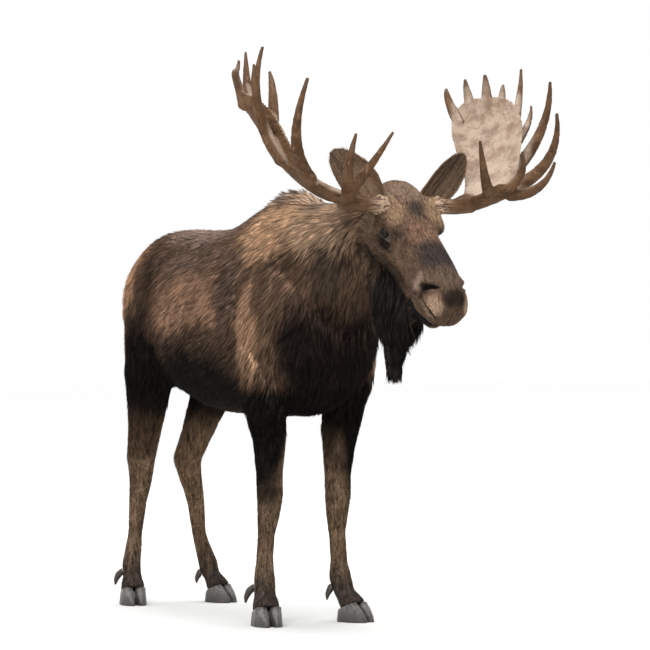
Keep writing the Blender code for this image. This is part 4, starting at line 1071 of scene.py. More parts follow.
points = points_of(hide.data)
long = (zones(points)[:, 1] > 0.5) | (crest_share(points) > 0.3) | in_box(points, "tail", 0.01)
lid, hollow, lip = bare.T
clothed = 1 - np.clip(ease(lid, 0.4, 0.8) + ease(hollow, 0.1, 0.4) + ease(lip, 0.2, 0.6), 0, 1)
crowd = clothed / coat_growth(points)[3] ** 2
KINDS = {  # a tuft's shape, how many grow, where, how many to a lock, and the most in one piece
    "locks": (LOCK, LOCKS, long, 6, 19900),
    "coat": (HAIR, HAIRS, ~long, 5, 49000),
}
for kind, (shape, count, where, each, most) in KINDS.items():
    roots, normals, flats, streak_there = coat_roots(hide.data, crowd * where, count, chance, streak[:, None])
    lengths, widths, rises, _ = coat_growth(roots)
    head, bell, leg = zones(roots).T
    lengths = lengths * chance.uniform(*HAIR_SHARES, len(roots))
    above = roots[:, 2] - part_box("bell")[0].z + chance.uniform(*BELL_ENDS, len(roots))
    lengths = np.where(bell > 0.5, np.minimum(lengths, np.maximum(above, SHORTEST)), lengths)
    ways = lie_of_coat(roots, normals)
    sway = sum(far * waves(roots, length, seed) for far, length, seed in SWELLS)
    sway = sway + chance.normal(0, SWAY_CHANCE, len(roots))
    ways = unit(ways + np.cross(normals, ways) * sway[:, None])
    rises = rises * chance.uniform(*RISE_SHARES, len(roots))
    tips = roots + ways * lengths[:, None] + normals * rises[:, None]
    pull = PULL + HEAD_PULL * head + LEG_PULL * leg
    tips, lock_tones = gathered(roots, tips, pull, chance, each)
    ways = unit(tips - roots)
    normals = unit(normals - ways * (normals * ways).sum(axis=1)[:, None])
    tones = STREAK_TONE * streak_there[:, 0] + LOCK_TONE * lock_tones
    tones = tones + OWN_TONE * chance.uniform(size=len(roots))
    areas = {
        "bell": bell > 0.5,
        "head": head > 0.5,
        "legs_front": (leg > 0.5) & (roots[:, 1] < FORELEGS_BACK),
        "legs_hind": leg > 0.5,
        "neck": roots[:, 1] < NECK_END,
        "shoulder": roots[:, 1] < SHOULDER_END,
        "barrel": roots[:, 1] < BARREL_END,
        "rump": roots[:, 1] >= BARREL_END,
    }
    left_over = np.ones(len(roots), bool)
    for area, inside in areas.items():
        members = np.flatnonzero(left_over & inside)
        left_over[members] = False
        if not len(members):
            continue
        for number, part in enumerate(np.array_split(members, math.ceil(len(members) / most))):
            tufts = (values[part] for values in (roots, ways, normals, widths, tips, tones, flats))
            zone = {"zone": zones(roots[part])}
            piece = tuft_mesh(f"{kind}_{area}_{number + 1}", shape, *tufts, zone)
            coat_finish.dress(piece)
            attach(piece, "root")

# ---------------------------------------------------------------- the eyes
# Dark glass-smooth balls set deep behind the lids, each with a brown iris
# and a long level pupil, wet enough to shine, under a row of short lashes.

IRIS_SIZE = 0.72  # of the ball's radius, as the next
PUPIL_SIZES = (0.46, 0.26)
BALL_SIZE = 0.985  # of the room behind the lids
BULGE_START, BULGE = 0.62, 0.10  # where the clear front begins to rise, and how much
LASHES = 46
LASH_LENGTHS = (0.009, 0.014)
LASH_HALF_WIDTH = 0.0006
LASH_SEED = 5
IRIS_BROWN, IRIS_DARK = (0.018, 0.011, 0.006), (0.006, 0.004, 0.003)
EYE_WHITE = (0.014, 0.011, 0.009)  # in the shade of the lids
PUPIL_BLACK = (0.002, 0.002, 0.003)
LASH_BLACK, LASH_BROWN = (0.008, 0.006, 0.005), (0.030, 0.022, 0.017)


def eye_axes(side):
    """An eye's own axes: forward along the face, upward, and out."""
    axis = eye_axis(side)
    forward = (ALONG - axis * ALONG.dot(axis)).normalized()
    return np.array(Matrix((forward, axis.cross(forward) * side, axis)))


def eye_middle(side):
    return np.array(on_head(EYE_FORWARD, EYE_LOWER, side * EYE_SPREAD))


def eye(side):
    """A ball with a clear front that bulges, which keeps each vertex's place on a ball of radius 1."""
    bm = bmesh.new()
    bmesh.ops.create_uvsphere(bm, u_segments=64, v_segments=40, radius=1)
    for vertex in bm.verts:
        vertex.co *= 1 + BULGE * max(0.0, vertex.co.z - BULGE_START)
    name = "eyeball_" + SIDES[side]
    ball = bpy.data.meshes.new(name)
    bm.to_mesh(ball)
    bm.free()
    ball.shade_smooth()
    points = points_of(ball)
    add_vectors(ball, "ball", points)
    if side == RIGHT:
        ball.flip_normals()
    set_points(ball, eye_middle(side) + points @ eye_axes(side) * (EYE_RADIUS * BALL_SIZE))
    return placed(name, ball)


def lashes(side, chance):
    """A row of short bristles along the upper lid's rim."""
    forward = np.linspace(-EYE_LENGTHS[1] * 0.85, EYE_LENGTHS[0] * 0.6, LASHES)
    forward = forward + chance.normal(0, 0.0004, LASHES)
    part = np.abs(forward) / np.where(forward > 0, *EYE_LENGTHS)
    upward = EYE_HEIGHTS[0] * 1.16 * (1 - part ** 2) + 0.10 * forward - 6.0 * np.maximum(forward, 0) ** 2
    outward = np.sqrt(np.maximum((EYE_RADIUS + LID_THICKNESS) ** 2 - forward ** 2 - upward ** 2, 1e-6))
    axes = eye_axes(side)
    roots = eye_middle(side) + np.column_stack((forward, upward, outward)) @ axes
    ways = unit(np.column_stack((forward * 18 - 0.2, np.full(LASHES, -0.35), np.full(LASHES, 1.0)))) @ axes
    ways = unit(ways + chance.normal(0, 0.08, ways.shape))
    tips = roots + ways * chance.uniform(*LASH_LENGTHS, LASHES)[:, None]
    normals = unit(np.cross(ways, np.cross(np.array((0, 0, 1.0)), ways)))
    widths = np.full(LASHES, LASH_HALF_WIDTH)
    tones = chance.uniform(size=LASHES)
    flats = np.column_stack((np.linspace(0.05, 0.95, LASHES), np.full(LASHES, 0.5 + 0.2 * side)))
    return tuft_mesh("lashes_" + SIDES[side], HAIR, roots, ways, normals, widths, tips, tones, flats, {})


eye_finish = Finish("eye", roughness=0.20, specular=0.0, Coat_Weight=0.30, Coat_Roughness=0.03)
ball = eye_finish.attribute("ball")
ring = ball.vector("MULTIPLY", (1, 1, 0)).length()
pupil = ball.vector("MULTIPLY", (1 / PUPIL_SIZES[0], 1 / PUPIL_SIZES[1], 0)).length()
spokes = ball.vector("MULTIPLY", (6, 6, 1)).noise(3.0, 3.0)
iris = spokes.mix(IRIS_BROWN, IRIS_DARK)
white = ring.ease(IRIS_SIZE - 0.03, IRIS_SIZE + 0.06).mix(iris, EYE_WHITE)
eye_finish.paint((1 - pupil.ease(0.9, 1.1)).mix(white, PUPIL_BLACK))

lash_finish = Finish("lashes", roughness=0.6, specular=0.2)
tone = lash_finish.attribute("tuft").parts()[2]
lash_finish.paint(tone.mix(LASH_BLACK, LASH_BROWN))

chance = np.random.default_rng(LASH_SEED)
for side, name in SIDES.items():
    made = eye(side)
    eye_finish.dress(made)
    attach(made, "root")
    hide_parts("eye_" + name)
    row = lashes(side, chance)
    lash_finish.dress(row)
    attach(row, "root")

# ---------------------------------------------------------------- the ears
# Broad gristle leaves cupped forwards, joined to the skull behind the
# antlers: short brown fur outside, long pale hair and dark stripes inside.

EAR_CUTS, EAR_ROUNDS = 3, 10  # halvings of the solid's faces, and rounds of smoothing
EAR_HAIRS = 6500
EAR_HALF_WIDTH = 0.083
EAR_INSET = 0.0022  # the leaf lies this far inside its solid, under the fur
OUTER_FUR, INNER_FUR = 0.010, 0.018  # its length outside, and what the inside adds
OUTER_RISE, INNER_RISE = 0.0016, 0.0030
FUR_HALF_WIDTH = 0.0010
FUR_SHARES = (0.6, 1.2)  # how a hair's length varies
FUR_SPREAD = 0.14  # and its way
EAR_SEED = 17
EAR_ALONG = 0.3  # the leaf takes the colour of fur this far along it, with that fur's painted shade
HEAD_FORWARD = Matrix.Rotation(HEAD_TURN, 3, "Z") @ Vector((0, -1, 0))

PALE_ROOT, PALE_TIP = (0.200, 0.132, 0.082), (0.130, 0.086, 0.054)
STRIPE_DARK = (0.050, 0.034, 0.024)
RIM_BROWN = (0.115, 0.062, 0.033)
OUTSIDE_ROOT, OUTSIDE_TIP = (0.330, 0.218, 0.144), (0.210, 0.136, 0.090)


def fine_copy(name, node, cuts, rounds, locked=None):
    """A node's solid with its faces cut small and its facets smoothed away."""
    bm = bmesh.new()
    bm.from_mesh(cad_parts[node].data)
    bmesh.ops.remove_doubles(bm, verts=bm.verts, dist=1e-5)
    for _ in range(cuts):
        bmesh.ops.subdivide_edges(bm, edges=bm.edges, cuts=1, use_grid_fill=True)
    fine = bpy.data.meshes.new(name)
    bm.to_mesh(fine)
    bm.free()
    points = points_of(fine)
    amount = 1.0 if locked is None else 1.0 - locked(points)
    set_points(fine, smoothed(points, edges_of(fine), rounds, amount))
    fine.shade_smooth()
    return placed(name, fine)


def ear_frame(points, side):
    """An ear's root, its axes (across it, up to its tip and out of its cup), and its length."""
    away = points - np.array(HEAD_MIDDLE)
    far = np.linalg.norm(away, axis=1)
    root = points[far < np.quantile(far, 0.04)].mean(axis=0)
    tip = points[np.linalg.norm(points - root, axis=1).argmax()]
    up = unit((tip - root)[None])[0]
    opening = np.array(HEAD_FORWARD + HEAD_LEFT * (side * 0.1) - Vector((0, 0, 0.25)))
    across = np.cross(up, opening)
    across /= np.linalg.norm(across)
    return root, np.array((across, up, np.cross(across, up))), np.linalg.norm(tip - root)


ear_finish = Finish("ears", roughness=0.72, specular=0.12)
across, up, inner = ear_finish.attribute("ear").parts()
tuft_along, tone = ear_finish.attribute("tuft").parts()[1:]
stripes = (across * 5.5).joined(up * 0.8, 0.0).noise(1.0, 1.0)
pale = up.ease(0.25, 0.8).mix(PALE_ROOT, PALE_TIP)
pale = (stripes.ease(0.54, 0.64) * up.ease(0.08, 0.25) * 0.85).mix(pale, STRIPE_DARK)
rim = (across.size() + up.ease(0.70, 1.0) * 0.5).ease(0.62, 0.82)
pale = (rim * 0.8).mix(pale, RIM_BROWN)
outside = up.ease(0.0, 0.9).mix(OUTSIDE_ROOT, OUTSIDE_TIP)
# The fur is painted darker towards its roots, as painted shade deep in the fur; its tone also differs at
# random.
tone_and_painted_shade = (tone - 0.5) * 0.8 + (tuft_along - 0.4) * 0.35 + 1.0
colour = inner.mix(outside, pale).tint(tone_and_painted_shade.grey())
ear_finish.paint(colour, bump=ear_finish.attribute("root").noise(220.0, 2.0), depth=0.001)

for side, name in SIDES.items():
    ear = fine_copy("ear_leaf_" + name, "ear_" + name, EAR_CUTS, EAR_ROUNDS)
    set_points(ear.data, points_of(ear.data) - normals_of(ear.data) * EAR_INSET)
    points, normals = points_of(ear.data), normals_of(ear.data)
    root, axes, reach = ear_frame(points, side)
    places = (points - root) @ axes.T / (EAR_HALF_WIDTH, reach, 1)
    inner = ease(normals @ axes[2], -0.05, 0.35)
    marks = np.column_stack((places[:, 0], places[:, 1], inner))
    unwrap(ear)
    chance = np.random.default_rng(EAR_SEED + side)
    even, tones = np.full(len(points), EAR_ALONG), chance.uniform(size=len(points))
    add_vectors(ear.data, "root", points)
    add_vectors(ear.data, "ear", marks)
    add_vectors(ear.data, "tuft", np.column_stack((even, even, tones)))
    crowd = 0.7 + 1.2 * ease(np.abs(places[:, 0]), 0.5, 0.9)
    roots, normals, flats, marks = coat_roots(ear.data, crowd, EAR_HAIRS, chance, marks)
    aside, upward, inside = marks.T
    ways = axes[1] + axes[0] * (aside * 0.5 * (1 - 0.5 * inside))[:, None]
    ways = ways + chance.normal(0, FUR_SPREAD, roots.shape)
    ways = unit(ways - normals * (ways * normals).sum(axis=1)[:, None])
    near_tip, near_rim = ease(upward, 0.75, 1.0), ease(np.abs(aside), 0.6, 0.9)
    lengths = OUTER_FUR + inside * INNER_FUR * (1 - 0.8 * near_tip) * (1 - 0.7 * near_rim)
    lengths = lengths * chance.uniform(*FUR_SHARES, len(roots))
    rises = (OUTER_RISE + INNER_RISE * inside) * chance.uniform(0.4, 1, len(roots))
    tips = roots + ways * lengths[:, None] + normals * rises[:, None]
    ways = unit(tips - roots)
    widths = np.full(len(roots), FUR_HALF_WIDTH)
    tones = 0.5 * np.clip(0.5 + 0.3 * waves(roots, 0.03, 9), 0, 1) + 0.5 * chance.uniform(size=len(roots))
    tufts = (roots, ways, normals, widths, tips, tones, flats)
    fur = tuft_mesh("ear_fur_" + name, HAIR, *tufts, {"ear": marks})
    for piece in (ear, fur):
        ear_finish.dress(piece)
        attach(piece, "root")
    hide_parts("ear_" + name)

# ---------------------------------------------------------------- the antlers
# Bare bone: a pearled burr and a grooved beam on each side, which spread
# into a broad palm edged with tines and a forked brow palm in front.

ANTLER_VOXEL = 0.0047
ANTLER_ROUNDS = 9  # of smoothing
ANTLER_SIDES = 20  # of each ring that its bodies are drawn through

# Places on an antler are sideways, forwards and up from the middle between the two.
ANTLER_FEET = on_head(-0.094, 0.064, 0)
BEAM = (  # with the radius
    (0.110, 0, -0.01, 0.034), (0.150, 0, 0, 0.036), (0.20, 0.003, -0.002, 0.032), (0.26, 0, 0.003, 0.036),
    (0.34, -0.015, 0.022, 0.047),
)
BURR = ((0.146, 0, -0.001, 0.036), (0.158, 0, 0.001, 0.043), (0.170, 0.001, 0.002, 0.034))
BROW_PALM = (  # with the half width, the half thickness and how far its rims curl over
    (0.325, 0.0, 0.012, 0.040, 0.034, 0), (0.36, 0.075, 0.032, 0.053, 0.026, 0),
    (0.395, 0.135, 0.062, 0.062, 0.019, 0), (0.405, 0.165, 0.090, 0.050, 0.011, 0),
)
PALMS = {
    LEFT: (
        (0.32, -0.005, 0.018, 0.045, 0.042, 0.0), (0.41, -0.03, 0.052, 0.080, 0.038, 0.008),
        (0.50, -0.07, 0.125, 0.122, 0.027, 0.030), (0.552, -0.145, 0.22, 0.148, 0.018, 0.052),
        (0.595, -0.212, 0.32, 0.168, 0.014, 0.062), (0.628, -0.270, 0.41, 0.154, 0.011, 0.058),
        (0.640, -0.295, 0.470, 0.110, 0.009, 0.036), (0.645, -0.310, 0.505, 0.050, 0.007, 0.010),
    ),
    RIGHT: (
        (0.32, -0.005, 0.02, 0.047, 0.043, 0.0), (0.415, -0.045, 0.057, 0.078, 0.038, 0.012),
        (0.505, -0.10, 0.123, 0.116, 0.027, 0.040), (0.572, -0.153, 0.209, 0.142, 0.018, 0.068),
        (0.617, -0.208, 0.318, 0.143, 0.014, 0.080), (0.648, -0.258, 0.395, 0.120, 0.011, 0.068),
        (0.656, -0.285, 0.440, 0.085, 0.009, 0.036), (0.66, -0.30, 0.470, 0.040, 0.007, 0.012),
    ),
}
TINES = {  # each one's root, middle and tip, and its radius at the root
    LEFT: (
        ((0.515, -0.32, 0.36), (0.497, -0.393, 0.485), (0.511, -0.436, 0.550), 0.027),
        ((0.585, -0.33, 0.42), (0.586, -0.374, 0.520), (0.583, -0.396, 0.593), 0.028),
        ((0.64, -0.30, 0.44), (0.660, -0.335, 0.545), (0.659, -0.348, 0.615), 0.029),
        ((0.680, -0.25, 0.42), (0.712, -0.285, 0.513), (0.735, -0.306, 0.570), 0.024),
        ((0.645, -0.120, 0.335), (0.748, -0.210, 0.480), (0.805, -0.265, 0.642), 0.024),
        ((0.630, -0.075, 0.285), (0.755, -0.150, 0.385), (0.821, -0.215, 0.472), 0.020),
        ((0.580, -0.055, 0.140), (0.752, -0.050, 0.350), (0.779, -0.019, 0.568), 0.030),
        ((0.50, 0.0, 0.075), (0.665, 0.100, 0.195), (0.646, 0.207, 0.410), 0.033),
        ((0.41, 0.12, 0.055), (0.538, 0.197, 0.076), (0.593, 0.261, 0.193), 0.029),
        ((0.40, 0.14, 0.065), (0.442, 0.215, 0.130), (0.406, 0.271, 0.232), 0.023),
        ((0.37, 0.09, 0.045), (0.292, 0.158, 0.120), (0.199, 0.249, 0.273), 0.029),
    ),
    RIGHT: (
        ((0.500, -0.300, 0.335), (0.456, -0.375, 0.49), (0.435, -0.433, 0.589), 0.026),
        ((0.575, -0.34, 0.40), (0.535, -0.40, 0.505), (0.513, -0.440, 0.617), 0.025),
        ((0.62, -0.31, 0.42), (0.597, -0.36, 0.530), (0.579, -0.400, 0.663), 0.025),
        ((0.67, -0.26, 0.40), (0.66, -0.32, 0.515), (0.648, -0.347, 0.621), 0.024),
        ((0.705, -0.18, 0.38), (0.733, -0.22, 0.480), (0.720, -0.270, 0.563), 0.025),
        ((0.570, -0.060, 0.140), (0.722, -0.068, 0.385), (0.733, -0.016, 0.652), 0.031),
        ((0.48, 0.0, 0.075), (0.642, 0.100, 0.245), (0.653, 0.207, 0.510), 0.034),
        ((0.37, 0.09, 0.045), (0.44, 0.19, 0.140), (0.455, 0.271, 0.283), 0.029),
        ((0.37, 0.09, 0.050), (0.335, 0.172, 0.135), (0.251, 0.249, 0.295), 0.028),
    ),
}
TINE_TAPER = 0.78  # how much thinner a tine's tip is than its root
THIN_TIP = 0.0060
ROUND_END = 0.35  # how thin a tine starts, inside the palm
PALM_ACROSS, PALM_INSIDE = (0.60, 0.80, 0.05), (-0.55, 0.38, 0.40)  # sideways, forwards and up
BROW_ACROSS, BROW_UP = (0.6, 0.2, 0), (-0.2, -0.2, 0.6)
TINE_REACH = 0.042  # how far below its tip a tine is drawn out to its full length
TIP_LENGTH = 0.13  # of a tine's darker end
SKULL_END = 0.012  # how much of the beam's inner end the way along the antler starts from
REACH_ROUNDS = 6  # of smoothing that way
BURR_REACH = (-0.14, -0.04)  # from its end at the skull, where the pearls of bone stop and are full
PALM_RIM = 0.02
GROOVE_ROUNDS, GROOVE_DEPTH = 40, 0.0006
PEARL_SIZE, PEARL_HEIGHT, PEARL_SEED = 0.014, 0.0010, 21
ANTLER_SEED = 3

BONE_DARK, BONE_BROWN = (0.058, 0.028, 0.012), (0.102, 0.054, 0.026)
RIDGE_TAN, GROOVE_BLACK = (0.165, 0.098, 0.057), (0.032, 0.016, 0.008)
PALM_TAN, PALM_PALE = (0.165, 0.108, 0.073), (0.290, 0.220, 0.165)
VEIN_TAN, VEIN_BROWN = (0.220, 0.158, 0.114), (0.115, 0.073, 0.048)
PEARL_DARK, PEARL_PALE = (0.080, 0.045, 0.027), (0.400, 0.285, 0.197)
TIP_BROWN = (0.070, 0.040, 0.024)


def way_along(points, edges, starts, most=np.inf):
    """The shortest way over the mesh to each vertex from the starting ones."""
    lengths = np.linalg.norm(points[edges[:, 0]] - points[edges[:, 1]], axis=1)
    reach = np.where(starts, 0.0, np.inf)
    while True:
        shorter = reach.copy()
        np.minimum.at(shorter, edges[:, 0], reach[edges[:, 1]] + lengths)
        np.minimum.at(shorter, edges[:, 1], reach[edges[:, 0]] + lengths)
        shorter[shorter > most] = np.inf
        if np.array_equal(shorter, reach):
            return reach
        reach = shorter


def gradient(points, edges, values):
    """The way along the mesh in which the values rise fastest."""
    step = points[edges[:, 1]] - points[edges[:, 0]]
    rise = (values[edges[:, 1]] - values[edges[:, 0]]) / (step ** 2).sum(axis=1)
    total = np.zeros_like(points)
    for axis in range(3):
        total[:, axis] = np.bincount(edges[:, 0], rise * step[:, axis], len(points))
        total[:, axis] += np.bincount(edges[:, 1], rise * step[:, axis], len(points))
    return unit(total)


def through(rows, steps):
    """The rows, with smoothly changing ones between each two."""
    rows = np.array(rows, float)
    padded = np.concatenate((rows[:1], rows, rows[-1:]))
    t = np.linspace(0, 1, steps, endpoint=False)[:, None]
    found = [
        0.5 * (2 * b + (c - a) * t + (2 * a - 5 * b + 4 * c - d) * t ** 2 + (3 * b - a - 3 * c + d) * t ** 3)
        for a, b, c, d in zip(padded, padded[1:], padded[2:], padded[3:])
    ]
    return np.concatenate((*found, rows[-1:]))


def drawn_through(bm, rings):
    """Adds a closed body through rings of points."""
    loops = [[bm.verts.new(point) for point in ring] for ring in rings]
    for low, high in zip(loops, loops[1:]):
        for here in range(ANTLER_SIDES):
            there = (here + 1) % ANTLER_SIDES
            bm.faces.new((low[here], low[there], high[there], high[here]))
    bm.faces.new(loops[0])
    bm.faces.new(loops[-1])


def round_rings(centres, radii):
    """Round rings square to the line through their middles."""
    turn = np.linspace(0, 2 * math.pi, ANTLER_SIDES, endpoint=False)
    ways = unit(np.gradient(centres, axis=0))
    across = np.cross(ways[0], (0.3, 0.2, 0.9))
    rings = []
    for centre, way, radius in zip(centres, ways, radii):
        across = across - way * (across @ way)
        across /= np.linalg.norm(across)
        up = np.cross(way, across)
        rings.append(centre + (np.outer(np.cos(turn), across) + np.outer(np.sin(turn), up)) * radius)
    return rings


def antler_axes(side):
    return np.array((HEAD_LEFT * side, HEAD_FORWARD, Vector((0, 0, 1))))


def antler_body(side):
    """One antler's beam, burr, palms and tines as one body, and where its tines end."""
    axes = antler_axes(side)
    feet = np.array(ANTLER_FEET)
    turn = np.linspace(0, 2 * math.pi, ANTLER_SIDES, endpoint=False)
    bm = bmesh.new()
    for line in (BEAM, BURR):
        rows = through(line, 4)
        drawn_through(bm, round_rings(feet + rows[:, :3] @ axes, rows[:, 3]))
    palms = ((PALMS[side], PALM_ACROSS, PALM_INSIDE), (BROW_PALM, BROW_ACROSS, BROW_UP))
    for palm, wide_way, up_way in palms:
        wide_way, up_way = unit(np.array((wide_way, up_way)) @ axes)
        drawn_through(bm, [
            feet + row[:3] @ axes + np.outer(np.cos(turn) * row[3], wide_way)
            + np.outer(np.sin(turn) * row[4] + np.cos(turn) ** 2 * row[5], up_way)
            for row in through(palm, 4)
        ])
    tips = []
    t = np.linspace(0, 1, 12)[:, None]
    for root, bend, tip, thickness in TINES[side]:
        root, bend, tip = feet + np.array((root, bend, tip)) @ axes
        centres = root * (2 * t - 1) * (t - 1) + bend * 4 * t * (1 - t) + tip * t * (2 * t - 1)
        radii = thickness * (1 - TINE_TAPER * t[:, 0] ** 1.4)
        radii[0] *= ROUND_END
        drawn_through(bm, round_rings(centres, np.maximum(radii, THIN_TIP)))
        tips.append(tip)
    bmesh.ops.recalc_face_normals(bm, faces=bm.faces)
    return evened("antler_bone_" + SIDES[side], bm, ANTLER_VOXEL), tips


def palm_inside(points, normals, side):
    """1 on the main palm's pale inner face, and 0 elsewhere."""
    axes = antler_axes(side)
    inside = np.array(PALM_INSIDE) @ axes
    facing = normals @ (inside / np.linalg.norm(inside))
    off_palm = np.full(len(points), np.inf)
    for row in through(PALMS[side][1:], 3):
        away = np.linalg.norm(points - np.array(ANTLER_FEET) - row[:3] @ axes, axis=1)
        off_palm = np.minimum(off_palm, away / (row[3] + PALM_RIM))
    return ease(facing, 0.10, 0.6) * ease(-off_palm, -1.12, -0.92)


def antler(side, chance):
    """One antler, with its tines drawn out to their tips, its grooves, and the marks for its colours."""
    made, tips = antler_body(side)
    edges = edges_of(made.data)
    points = smoothed(points_of(made.data), edges, ANTLER_ROUNDS)
    sideways = (points @ np.array(HEAD_LEFT)) * side
    reach = way_along(points, edges, sideways < sideways.min() + SKULL_END)
    smooth_reach = reach[:, None]
    for _ in range(REACH_ROUNDS):
        smooth_reach = neighbour_mean(smooth_reach, edges)
    ways = gradient(points, edges, smooth_reach[:, 0])
    tops = np.zeros(len(points), bool)
    drawn = points.copy()
    for tip in tips:
        top = np.linalg.norm(points - tip, axis=1).argmin()
        tops[top] = True
        below = np.linalg.norm(points - points[top], axis=1)
        drawn += (tip - points[top]) * hill(below, TINE_REACH)[:, None]
    below_tips = way_along(points, edges, tops, TIP_LENGTH + 0.03)
    tip = 1 - ease(np.minimum(below_tips, 1), 0.0, TIP_LENGTH)
    set_points(made.data, drawn)
    normals = normals_of(made.data)
    groove = streaks(drawn, edges, ways, GROOVE_ROUNDS, chance)
    inner = palm_inside(drawn, normals, side)
    pearls = ease(-reach, *BURR_REACH)
    pearl = waves(drawn, PEARL_SIZE, PEARL_SEED) * pearls
    depth = GROOVE_DEPTH * (1 - 0.6 * inner) * (1 - 0.7 * tip)
    relief = groove * depth * (1 + 2.0 * pearls) + pearl * PEARL_HEIGHT
    set_points(made.data, drawn + normals * relief[:, None])
    made.data.shade_smooth()
    add_vectors(made.data, "bone", np.column_stack((groove, inner, tip)))
    add_vectors(made.data, "spot", np.column_stack((reach, pearls, pearl)))
    return made


bone_finish = Finish("antler bone", roughness=0.60, specular=0.12)
place = bone_finish.place()
groove, inner, tip = bone_finish.attribute("bone").parts()
pearls, pearl = bone_finish.attribute("spot").parts()[1:]
mottle = place.noise(14.0, 4.0)
veins = place.noise(42.0, 5.0)
branching = (place.noise(11.0, 5.0, 0.6) - 0.5).size()
colour = mottle.ease(0.35, 0.65).mix(BONE_DARK, BONE_BROWN)
colour = (groove * (0.25 + pearls * 0.4)).ease(0.0, 1.0).mix(colour, RIDGE_TAN)
colour = (groove * (pearls * -0.4 - 0.25)).ease(0.0, 1.0).mix(colour, GROOVE_BLACK)
pale = mottle.ease(0.32, 0.60).mix(PALM_TAN, PALM_PALE)
pale = (veins.ease(0.50, 0.72) * 0.6).mix(pale, VEIN_TAN)
pale = ((1 - branching.ease(0.0, 0.03)) * 0.5).mix(pale, VEIN_BROWN)
pale = ((groove * -0.45).ease(0.3, 1.2) * 0.35).mix(pale, VEIN_BROWN)
colour = inner.mix(colour, pale)
pearly = (pearl * 0.3 + groove * 0.4 + 0.5).ease(0.1, 0.9).mix(PEARL_DARK, PEARL_PALE)
colour = (pearls * 0.85).mix(colour, pearly)
colour = (tip * 0.75).mix(colour, TIP_BROWN)
fine = place.noise(260.0, 2.0)
bone_finish.paint(colour, bump=veins * 0.7 + fine * 0.3, depth=0.0012)

chance = np.random.default_rng(ANTLER_SEED)
for side, name in SIDES.items():
    made = antler(side, chance)
    bone_finish.dress(made)
    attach(made, "root")
    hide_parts(f"antler_{name}_beam", f"antler_{name}_brow_palm", f"antler_{name}_palm")

# ---------------------------------------------------------------- the hooves
# Two claws of grey horn on each foot, ringed as they grow, and a pair of
# small dewclaws behind, hanging from the fetlock.

HOOF_CUTS, DEWCLAW_CUTS = 3, 2  # halvings of the solids' faces
HOOF_ROUNDS = 8  # of smoothing
SOLE_TOP = (0.003, 0.010)  # heights, as the next two
HORN_PALE = (0.01, 0.070)  # where the horn grows paler
HOOF_TOP = (0.070, 0.095)  # and where it gives way to the darker rim
HORN_DARK, HORN_GREY = (0.040, 0.037, 0.035), (0.115, 0.108, 0.104)
SCUFF_BROWN = (0.060, 0.051, 0.045)
HOOF_RIM = (0.036, 0.027, 0.022)


def on_sole(points):
    """1 where the horn stands flat on the ground, which smoothing leaves as it is."""
    return 1.0 - ease(points[:, 2], *SOLE_TOP)


hoof_finish = Finish("hoof horn", roughness=0.42, specular=0.4)
place = hoof_finish.place()
height = place.parts()[2]
scuffs = place.vector("MULTIPLY", (1, 1, 0.35)).noise(90.0, 4.0)
rings = place.vector("MULTIPLY", (0.15, 0.15, 1)).noise(170.0, 2.0)
horn = height.ease(*HORN_PALE).mix(HORN_DARK, HORN_GREY)
horn = scuffs.ease(0.4, 0.7).mix(horn, SCUFF_BROWN)
horn = height.ease(*HOOF_TOP).mix(horn, HOOF_RIM)
hoof_finish.paint(horn, bump=rings, depth=0.003)

for leg, side in LEGS:
    foot = f"{leg}_{SIDES[side]}"
    for half in ("inner", "outer"):
        for part, cuts in (("hoof", HOOF_CUTS), ("dewclaw", DEWCLAW_CUTS)):
            node = f"{part}_{foot}_{half}"
            made = fine_copy("horn_" + node, node, cuts, HOOF_ROUNDS, on_sole)
            hoof_finish.dress(made)
            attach(made, "root")
            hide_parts(node)

# ---------------------------------------------------------------- the studio
# A plain pale floor under soft light from above, and the camera at the
# moose's right front, level with its chest.

VIEW_TURN = math.radians(27)  # from the animal's front towards its right
VIEW_DISTANCE = 15.5
VIEW_HEIGHT = 1.324
VIEW_MIDDLE = Vector((BODY_X, 0.445, 0))  # on the floor, below the barrel
VIEW_ASIDE = 0.4012  # from there to the frame's middle, to the right in the view
VIEW_ABOVE = 0.0234
VIEW_LENS = 183.05  # in millimetres, with the sensor's width
VIEW_SENSOR = 36
VIEW_END = 100

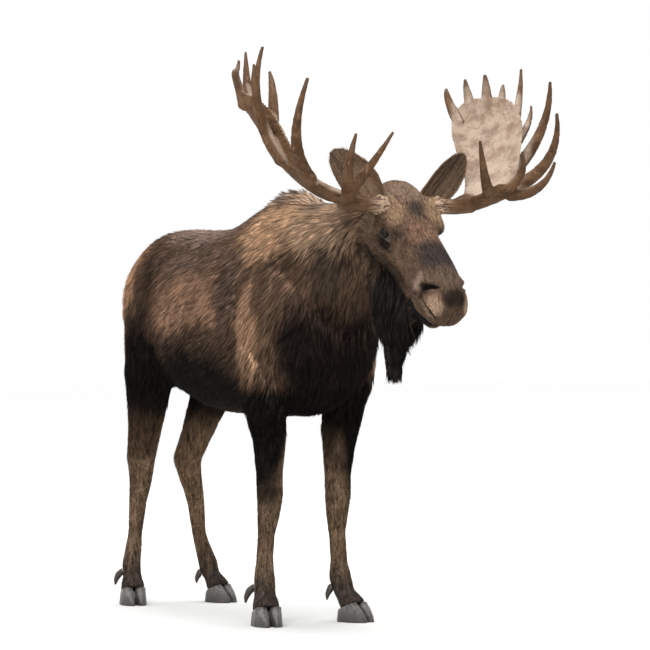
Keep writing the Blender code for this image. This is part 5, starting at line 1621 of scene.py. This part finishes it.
toward = Vector((-math.sin(VIEW_TURN), -math.cos(VIEW_TURN), 0))
sideways = Vector((math.cos(VIEW_TURN), -math.sin(VIEW_TURN), 0))
lens = bpy.data.cameras.new("camera")
lens.lens = VIEW_LENS
lens.sensor_width = VIEW_SENSOR
lens.clip_end = VIEW_END
camera = placed("camera", lens)
camera.location = VIEW_MIDDLE + toward * VIEW_DISTANCE + Vector((0, 0, VIEW_HEIGHT))
target = VIEW_MIDDLE + sideways * VIEW_ASIDE + Vector((0, 0, VIEW_HEIGHT + VIEW_ABOVE))
camera.rotation_euler = (target - camera.location).to_track_quat("-Z", "Y").to_euler()
bpy.context.scene.camera = camera

LAMPS = {"key": (Vector((-5.0, -5.5, 7.5)), 820), "top": (Vector((0.5, 1.5, 8.0)), 560)}  # place and watts
LAMP_SIZE = 5.0
BODY_MIDDLE = Vector((BODY_X, 0, 1.3))
for name, (place, power) in LAMPS.items():
    light = bpy.data.lights.new(name, "AREA")
    light.size = LAMP_SIZE
    light.energy = power
    lamp = placed(name, light)
    lamp.location = place
    lamp.rotation_euler = (BODY_MIDDLE - place).to_track_quat("-Z", "Y").to_euler()

FLOOR_SIZE = 60
# The floor's grey near the animal and near-white far from it: painted light that evens out the lamps' light
# over the floor.
FLOOR_NEAR, FLOOR_SPOTS, FLOOR_FAR = (0.60, 0.60, 0.59), (0.64, 0.64, 0.63), (0.99, 0.99, 0.99)
WHITE = (1.0, 1.0, 1.0, 1)

bm = bmesh.new()
bmesh.ops.create_grid(bm, x_segments=1, y_segments=1, size=FLOOR_SIZE)
floor_mesh = bpy.data.meshes.new("floor")
bm.to_mesh(floor_mesh)
bm.free()
floor = placed("floor", floor_mesh)
floor_finish = Finish("floor", roughness=0.9, specular=0.1)
place = floor_finish.place()
near_floor = place.noise(3.0, 4.0).mix(FLOOR_NEAR, FLOOR_SPOTS)
# The floor is painted paler away from the animal, up to the world's white: painted light that makes up for
# the lamps' light falling off, so the floor fades into the backdrop.
floor_finish.paint(place.length().ease(2.0, 9.0).mix(near_floor, FLOOR_FAR))
floor_finish.dress(floor)

world = bpy.data.worlds.new("studio")
world.use_nodes = True
world.node_tree.nodes["Background"].inputs["Color"].default_value = WHITE
world.node_tree.nodes["Background"].inputs["Strength"].default_value = 1.0
bpy.context.scene.world = world
bpy.context.scene.view_settings.view_transform = "Standard"
